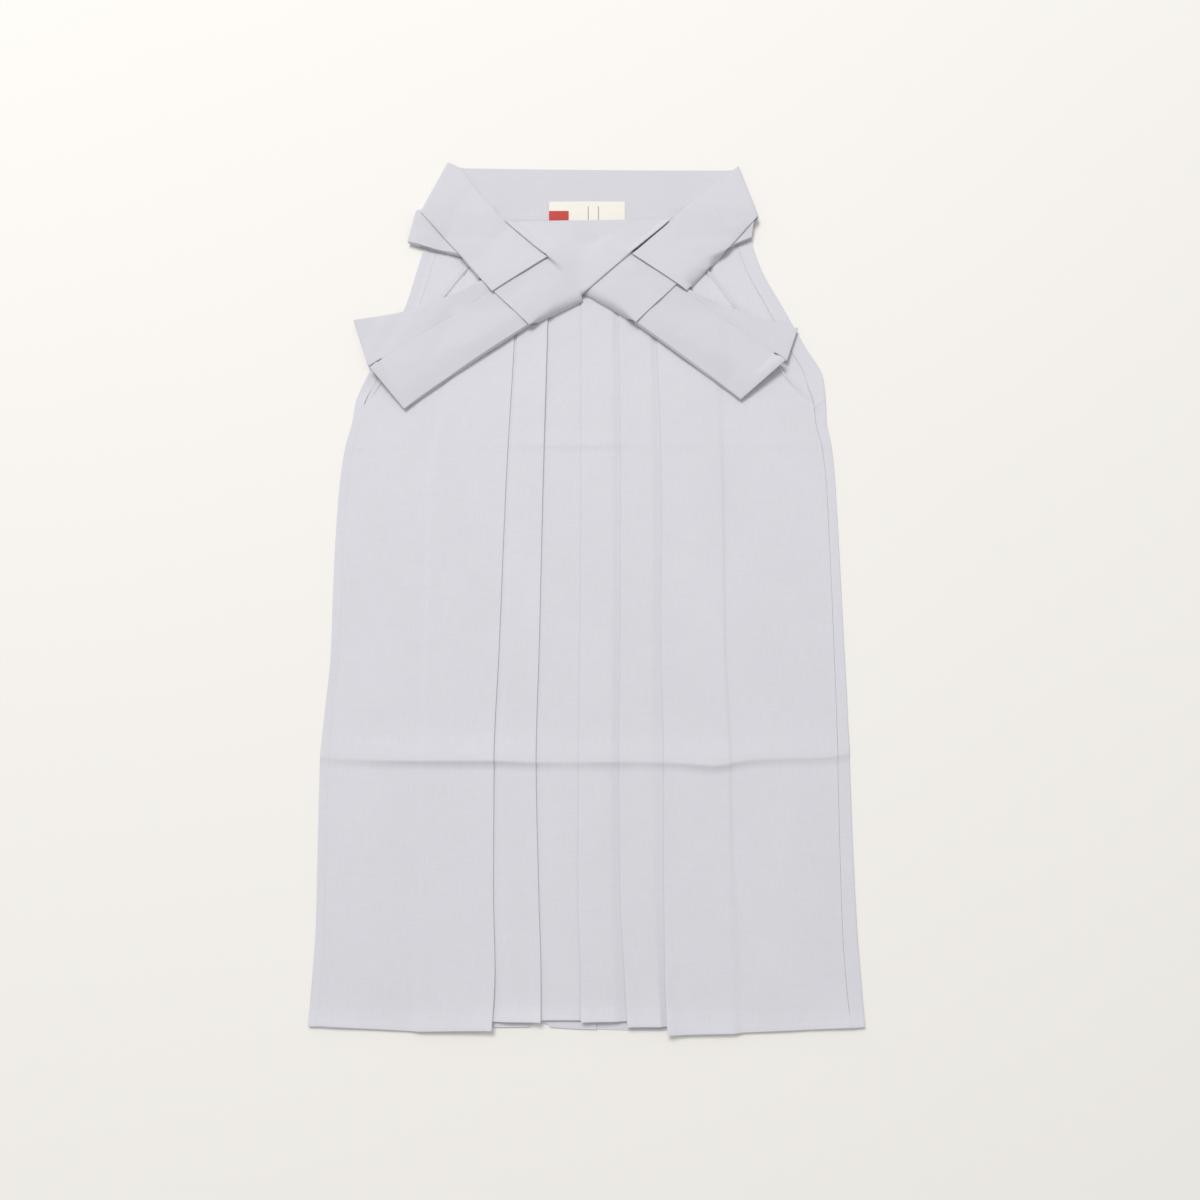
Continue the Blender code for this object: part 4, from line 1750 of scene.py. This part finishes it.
class Graph:
    """A material's nodes round one Principled shader."""

    def __init__(self, name: str) -> None:
        """Start a material.

        Args:
            name: Its name.
        """
        self.made = bpy.data.materials.new(name)
        self.made.use_nodes = True
        self.tree = self.made.node_tree
        self.shader = self.tree.nodes["Principled BSDF"]

    def node(
        self, kind: str, settings: Mapping[str, object], sockets: Mapping[int | str, object], output: int = 0
    ) -> Value:
        """Add a node.

        Args:
            kind: The node's type.
            settings: Its settings, which are set first.
            sockets: The values or links of its inputs.
            output: Which of its outputs to return.

        Returns:
            That output.
        """
        node = self.tree.nodes.new(kind)
        for name, setting in settings.items():
            setattr(node, name, setting)
        for name, value in sockets.items():
            if isinstance(value, Value):
                self.tree.links.new(value.socket, node.inputs[name])
            else:
                node.inputs[name].default_value = value
        return Value(self, node.outputs[output])

    def places(self) -> Value:
        """The place on the flat cloth, in metres."""
        return self.node("ShaderNodeUVMap", {"uv_map": UV_NAME}, {})

    def parts(self, vector: Value) -> tuple[Value, Value]:
        """A vector's X and Y."""
        return tuple(self.node("ShaderNodeSeparateXYZ", {}, {0: vector}, output) for output in (0, 1))

    def noise(self, vector: Value, size: Sequence[float], detail: float = 2.0, shift: float = 0.0) -> Value:
        """Add soft noise.

        Args:
            vector: The places that it is read at.
            size: The size of its grains along X, Y and Z, in metres.
            detail: How many finer layers it has.
            shift: How far it is shifted, in grains.

        Returns:
            Values round 0.5.
        """
        scale = [1.0 / length for length in size]
        turn = {"operation": "MULTIPLY_ADD"}
        stretched = self.node("ShaderNodeVectorMath", turn, {0: vector, 1: scale, 2: (shift, shift, shift)})
        sockets = {"Vector": stretched, "Scale": 1.0, "Detail": detail, "Roughness": 0.55}
        return self.node("ShaderNodeTexNoise", {}, sockets)

    def mix(self, factor: Value, first: object, second: object) -> Value:
        """One colour turning into another as the factor goes from 0 to 1."""
        sockets = {0: factor, 6: first, 7: second}
        return self.node("ShaderNodeMix", {"data_type": "RGBA"}, sockets, output=2)

    def bump(self, height: Value, strength: float, distance: float) -> Value:
        """A normal from a height of 0 to 1 that stands for this distance in metres."""
        sockets = {"Strength": strength, "Distance": distance, "Height": height}
        return self.node("ShaderNodeBump", {}, sockets)

    def finish(self, fixed: Mapping[str, object], varying: Mapping[str, Value]) -> bpy.types.Material:
        """Set up the shader.

        Args:
            fixed: The sockets that are the same all over, with their values.
            varying: The sockets that vary, with what feeds them.

        Returns:
            The material.
        """
        for name, value in fixed.items():
            self.shader.inputs[name].default_value = value
        for name, value in varying.items():
            self.tree.links.new(value.socket, self.shader.inputs[name])
        return self.made


def shade(color: Sequence[float], by: float) -> tuple[float, float, float, float]:
    """A colour made lighter or darker by a share, as four numbers."""
    return (*(min(1.0, part * (1.0 + by)) for part in color), 1.0)


class Finish:
    """A finish that makes its material once.

    Attributes:
        name: The material's name.
    """

    name: str

    def paint(self) -> bpy.types.Material:
        """Make the material."""
        raise NotImplementedError

    def material(self) -> bpy.types.Material:
        """The material, made the first time it is asked for."""
        return bpy.data.materials.get(self.name) or self.paint()


@dataclass(frozen=True)
class WovenFinish(Finish):
    """Matt plain-woven cloth with fine slubs along both threads.

    Attributes:
        name: The material's name.
        color: Its mean colour.
        thread: The threads' spacing in metres.
        contrast: How far the slubs change the colour.
        roughness: Its roughness.
        sheen: How much light its nap catches.
        warp: The size of the slubs along the warp, in metres.
        weft: The size of those along the weft.
        cloud: The size of the soft changes of shade.
        relief: How deep the weave is, in metres.
        relief_share: How much of that shows.
    """

    name: str
    color: tuple[float, float, float]
    thread: float = 0.00055
    contrast: float = 0.05
    roughness: float = 0.85
    sheen: float = 0.12
    warp: tuple[float, float, float] = (0.0011, 0.026, 1.0)
    weft: tuple[float, float, float] = (0.022, 0.0012, 1.0)
    cloud: tuple[float, float, float] = (0.07, 0.11, 1.0)
    relief: float = 0.0003
    relief_share: float = 0.22

    def paint(self) -> bpy.types.Material:
        """Make the material.

        Returns:
            The material.
        """
        graph = Graph(self.name)
        places = graph.places()
        across, along = graph.parts(places)
        turns = 2.0 * math.pi / self.thread
        weave = (across * turns).sine() * (along * turns).sine()
        warp = graph.noise(places, self.warp, 3.0)
        weft = graph.noise(places, self.weft, 3.0, shift=7.3)
        cloud = graph.noise(places, self.cloud, 2.0, shift=3.1)
        tone = 0.5 + (warp - 0.5) * 1.1 + (weft - 0.5) * 0.8 + (cloud - 0.5) * 0.5
        tone = tone.maths("MINIMUM", tone.maths("MAXIMUM", tone, 0.0), 1.0)
        color = graph.mix(tone, shade(self.color, -self.contrast), shade(self.color, self.contrast))
        height = 0.5 + weave * 0.22 + (warp - 0.5) * 0.5 + (weft - 0.5) * 0.4
        normal = graph.bump(height, self.relief_share, self.relief)
        rough = self.roughness + (warp - 0.5) * 0.08
        nap = {"Sheen Weight": self.sheen, "Sheen Roughness": 0.5}
        fixed = {"Metallic": 0.0, **nap, "Specular IOR Level": 0.25}
        return graph.finish(fixed, {"Base Color": color, "Roughness": rough, "Normal": normal})


@dataclass(frozen=True)
class LabelFinish(Finish):
    """A cream woven tape with one plain red block and two thin plain rules.

    Attributes:
        name: The material's name.
        color: The tape's colour.
        block: The block's colour.
        rule: The rules' colour.
        rib: The spacing of the tape's ribs, in metres.
        slub: The size of its slubs, in metres.
        block_end: Where the block ends along the tape, in metres from the tape's end.
        block_foot: Where it starts across the tape.
        rule_places: Where the rules lie along the tape.
        rule_ends: Where they start and end across it.
        rule_width: Half of their width.
        rule_strength: How strongly their colour covers the tape, from 0 to 1.
    """

    name: str = "label_tape"
    color: tuple[float, float, float] = (0.82, 0.79, 0.73)
    block: tuple[float, float, float] = (0.50, 0.045, 0.035)
    rule: tuple[float, float, float] = (0.30, 0.28, 0.27)
    rib: float = 0.0009
    slub: tuple[float, float, float] = (0.0012, 0.006, 1.0)
    block_end: float = 0.023
    block_foot: float = 0.012
    rule_places: tuple[float, ...] = (0.046, 0.058)
    rule_ends: tuple[float, float] = (0.006, 0.024)
    rule_width: float = 0.0007
    rule_strength: float = 0.75

    def paint(self) -> bpy.types.Material:
        """Make the material.

        Returns:
            The material.
        """
        graph = Graph(self.name)
        places = graph.places()
        across, along = graph.parts(places)
        ribs = (along * (2.0 * math.pi / self.rib)).sine()
        grain = graph.noise(places, self.slub)
        tape = graph.mix(grain, shade(self.color, -0.04), shade(self.color, 0.03))
        block = (along < self.block_end) * (across > self.block_foot)
        foot, head = self.rule_ends
        rules = 0.0
        for place in self.rule_places:
            rules = rules + ((along - place).size() < self.rule_width) * (across > foot) * (across < head)
        inked = rules * self.rule_strength
        printed = graph.mix(block, tape, shade(self.block, 0.0))
        color = graph.mix(inked, printed, shade(self.rule, 0.0))
        normal = graph.bump(0.5 + ribs * 0.2 + grain * 0.3, 0.2, 0.0002)
        rough = 0.6 + grain * 0.2
        fixed = {"Metallic": 0.0, "Sheen Weight": 0.05}
        return graph.finish(fixed, {"Base Color": color, "Roughness": rough, "Normal": normal})


@dataclass(frozen=True)
class FloorFinish(Finish):
    """Plain pale paper.

    Attributes:
        name: The material's name.
        color: Its colour.
        grain: The size of its soft changes of shade, in metres.
    """

    name: str = "floor_paper"
    color: tuple[float, float, float] = (0.85, 0.835, 0.81)
    grain: tuple[float, float, float] = (0.9, 0.9, 0.9)

    def paint(self) -> bpy.types.Material:
        """Make the material.

        Returns:
            The material.
        """
        graph = Graph(self.name)
        places = graph.node("ShaderNodeTexCoord", {}, {}, output=3)
        grain = graph.noise(places, self.grain, 2.0)
        color = graph.mix(grain, shade(self.color, -0.01), shade(self.color, 0.01))
        return graph.finish({"Roughness": 0.9, "Specular IOR Level": 0.1}, {"Base Color": color})


# ---------------------------------------------------------------------------------------------------------
# The studio
# ---------------------------------------------------------------------------------------------------------


@dataclass(frozen=True)
class Softbox:
    """One large soft light.

    Attributes:
        name: Its name.
        place: Where it hangs, in metres.
        size: Its width and height, in metres.
        power: Its power in watts.
        color: Its colour.
    """

    name: str
    place: tuple[float, float, float]
    size: tuple[float, float]
    power: float
    color: tuple[float, float, float] = (1.0, 0.985, 0.96)

    def build(self) -> None:
        """Hang the light, facing the middle of the floor."""
        lamp = bpy.data.lights.new(self.name, "AREA")
        lamp.shape = "RECTANGLE"
        lamp.size, lamp.size_y = self.size
        lamp.energy = self.power
        lamp.color = self.color
        light = bpy.data.objects.new(self.name, lamp)
        light.location = self.place
        light.rotation_euler = (-Vector(self.place)).to_track_quat("-Z", "Y").to_euler()
        bpy.context.scene.collection.objects.link(light)


@dataclass(frozen=True)
class Studio:
    """A pale floor, soft light from above the waist, and a camera that looks down at the garment.

    Attributes:
        floor_size: The floor's side, in metres.
        floor_drop: How far the floor lies below the garment, in metres.
        ambient: The strength of the light from all round.
        target: The point that the camera looks at, from the frame's origin, in metres.
        elevation: How steeply the camera looks down, in degrees.
        distance: How far it is from that point, in metres.
        lens: Its focal length in millimetres.
        lights: The lights.
    """

    floor_size: float = 9.0
    floor_drop: float = 0.0002
    ambient: float = 0.56
    target: tuple[float, float, float] = (0.0144, -0.0263, 0.0)
    elevation: float = 82.0
    distance: float = 1.3124
    lens: float = 35.0
    lights: tuple[Softbox, ...] = (
        Softbox("key", (-1.2, 2.8, 4.8), (2.4, 1.8), 200.0),
    )

    def floor(self) -> None:
        """Lay the floor."""
        bpy.ops.object.select_all(action="DESELECT")
        bpy.ops.mesh.primitive_plane_add(size=self.floor_size, location=(0.0, 0.0, 0.0))
        floor = bpy.context.active_object
        floor.name = "floor"
        for vertex in floor.data.vertices:
            vertex.co.z = -self.floor_drop
        floor.data.materials.append(FloorFinish().material())

    def world(self) -> None:
        """Light the scene evenly from all round."""
        world = bpy.data.worlds.new("studio")
        world.use_nodes = True
        background = world.node_tree.nodes["Background"]
        background.inputs["Color"].default_value = (1.0, 0.995, 0.985, 1.0)
        background.inputs["Strength"].default_value = self.ambient
        bpy.context.scene.world = world
        bpy.context.scene.view_settings.view_transform = "Standard"

    def camera(self) -> None:
        """Set up the camera."""
        tilt = math.radians(self.elevation)
        ahead = Vector((0.0, math.cos(tilt), -math.sin(tilt)))
        lens = bpy.data.cameras.new("camera")
        lens.lens = self.lens
        camera = bpy.data.objects.new("camera", lens)
        camera.location = Vector(self.target) - ahead * self.distance
        camera.rotation_euler = ahead.to_track_quat("-Z", "Y").to_euler()
        bpy.context.scene.collection.objects.link(camera)
        bpy.context.scene.camera = camera

    def build(self) -> None:
        """Set up the floor, the lights and the camera."""
        self.camera()
        self.floor()
        self.world()
        for light in self.lights:
            light.build()


def main() -> None:
    """Build the garment from the floor up, and then the studio round it."""
    logging.basicConfig(level=logging.INFO, format="%(message)s")
    leg = WovenFinish("leg_cloth_finish", (0.65, 0.648, 0.702))
    tie = WovenFinish("tie_cloth_finish", (0.612, 0.612, 0.668), contrast=0.04)
    label = LabelFinish()
    pile = Pile()
    legs = Legs()
    waist = Waist()
    legs.build_backs(pile, leg)
    back_band, tape = waist.bands()
    back_band.build(pile, tie)
    tape.build(pile, label)
    legs.build_fronts(pile, leg)
    ties = (*waist.loops(), *waist.arms(), waist.right_wrap(), waist.right_back_tie())
    for strip in (waist.front_band(), *ties):
        strip.build(pile, tie)
    waist.centre_wrap().hold(waist.left_back_tie(), pile, tie)
    Studio().build()


if __name__ == "__main__":
    main()
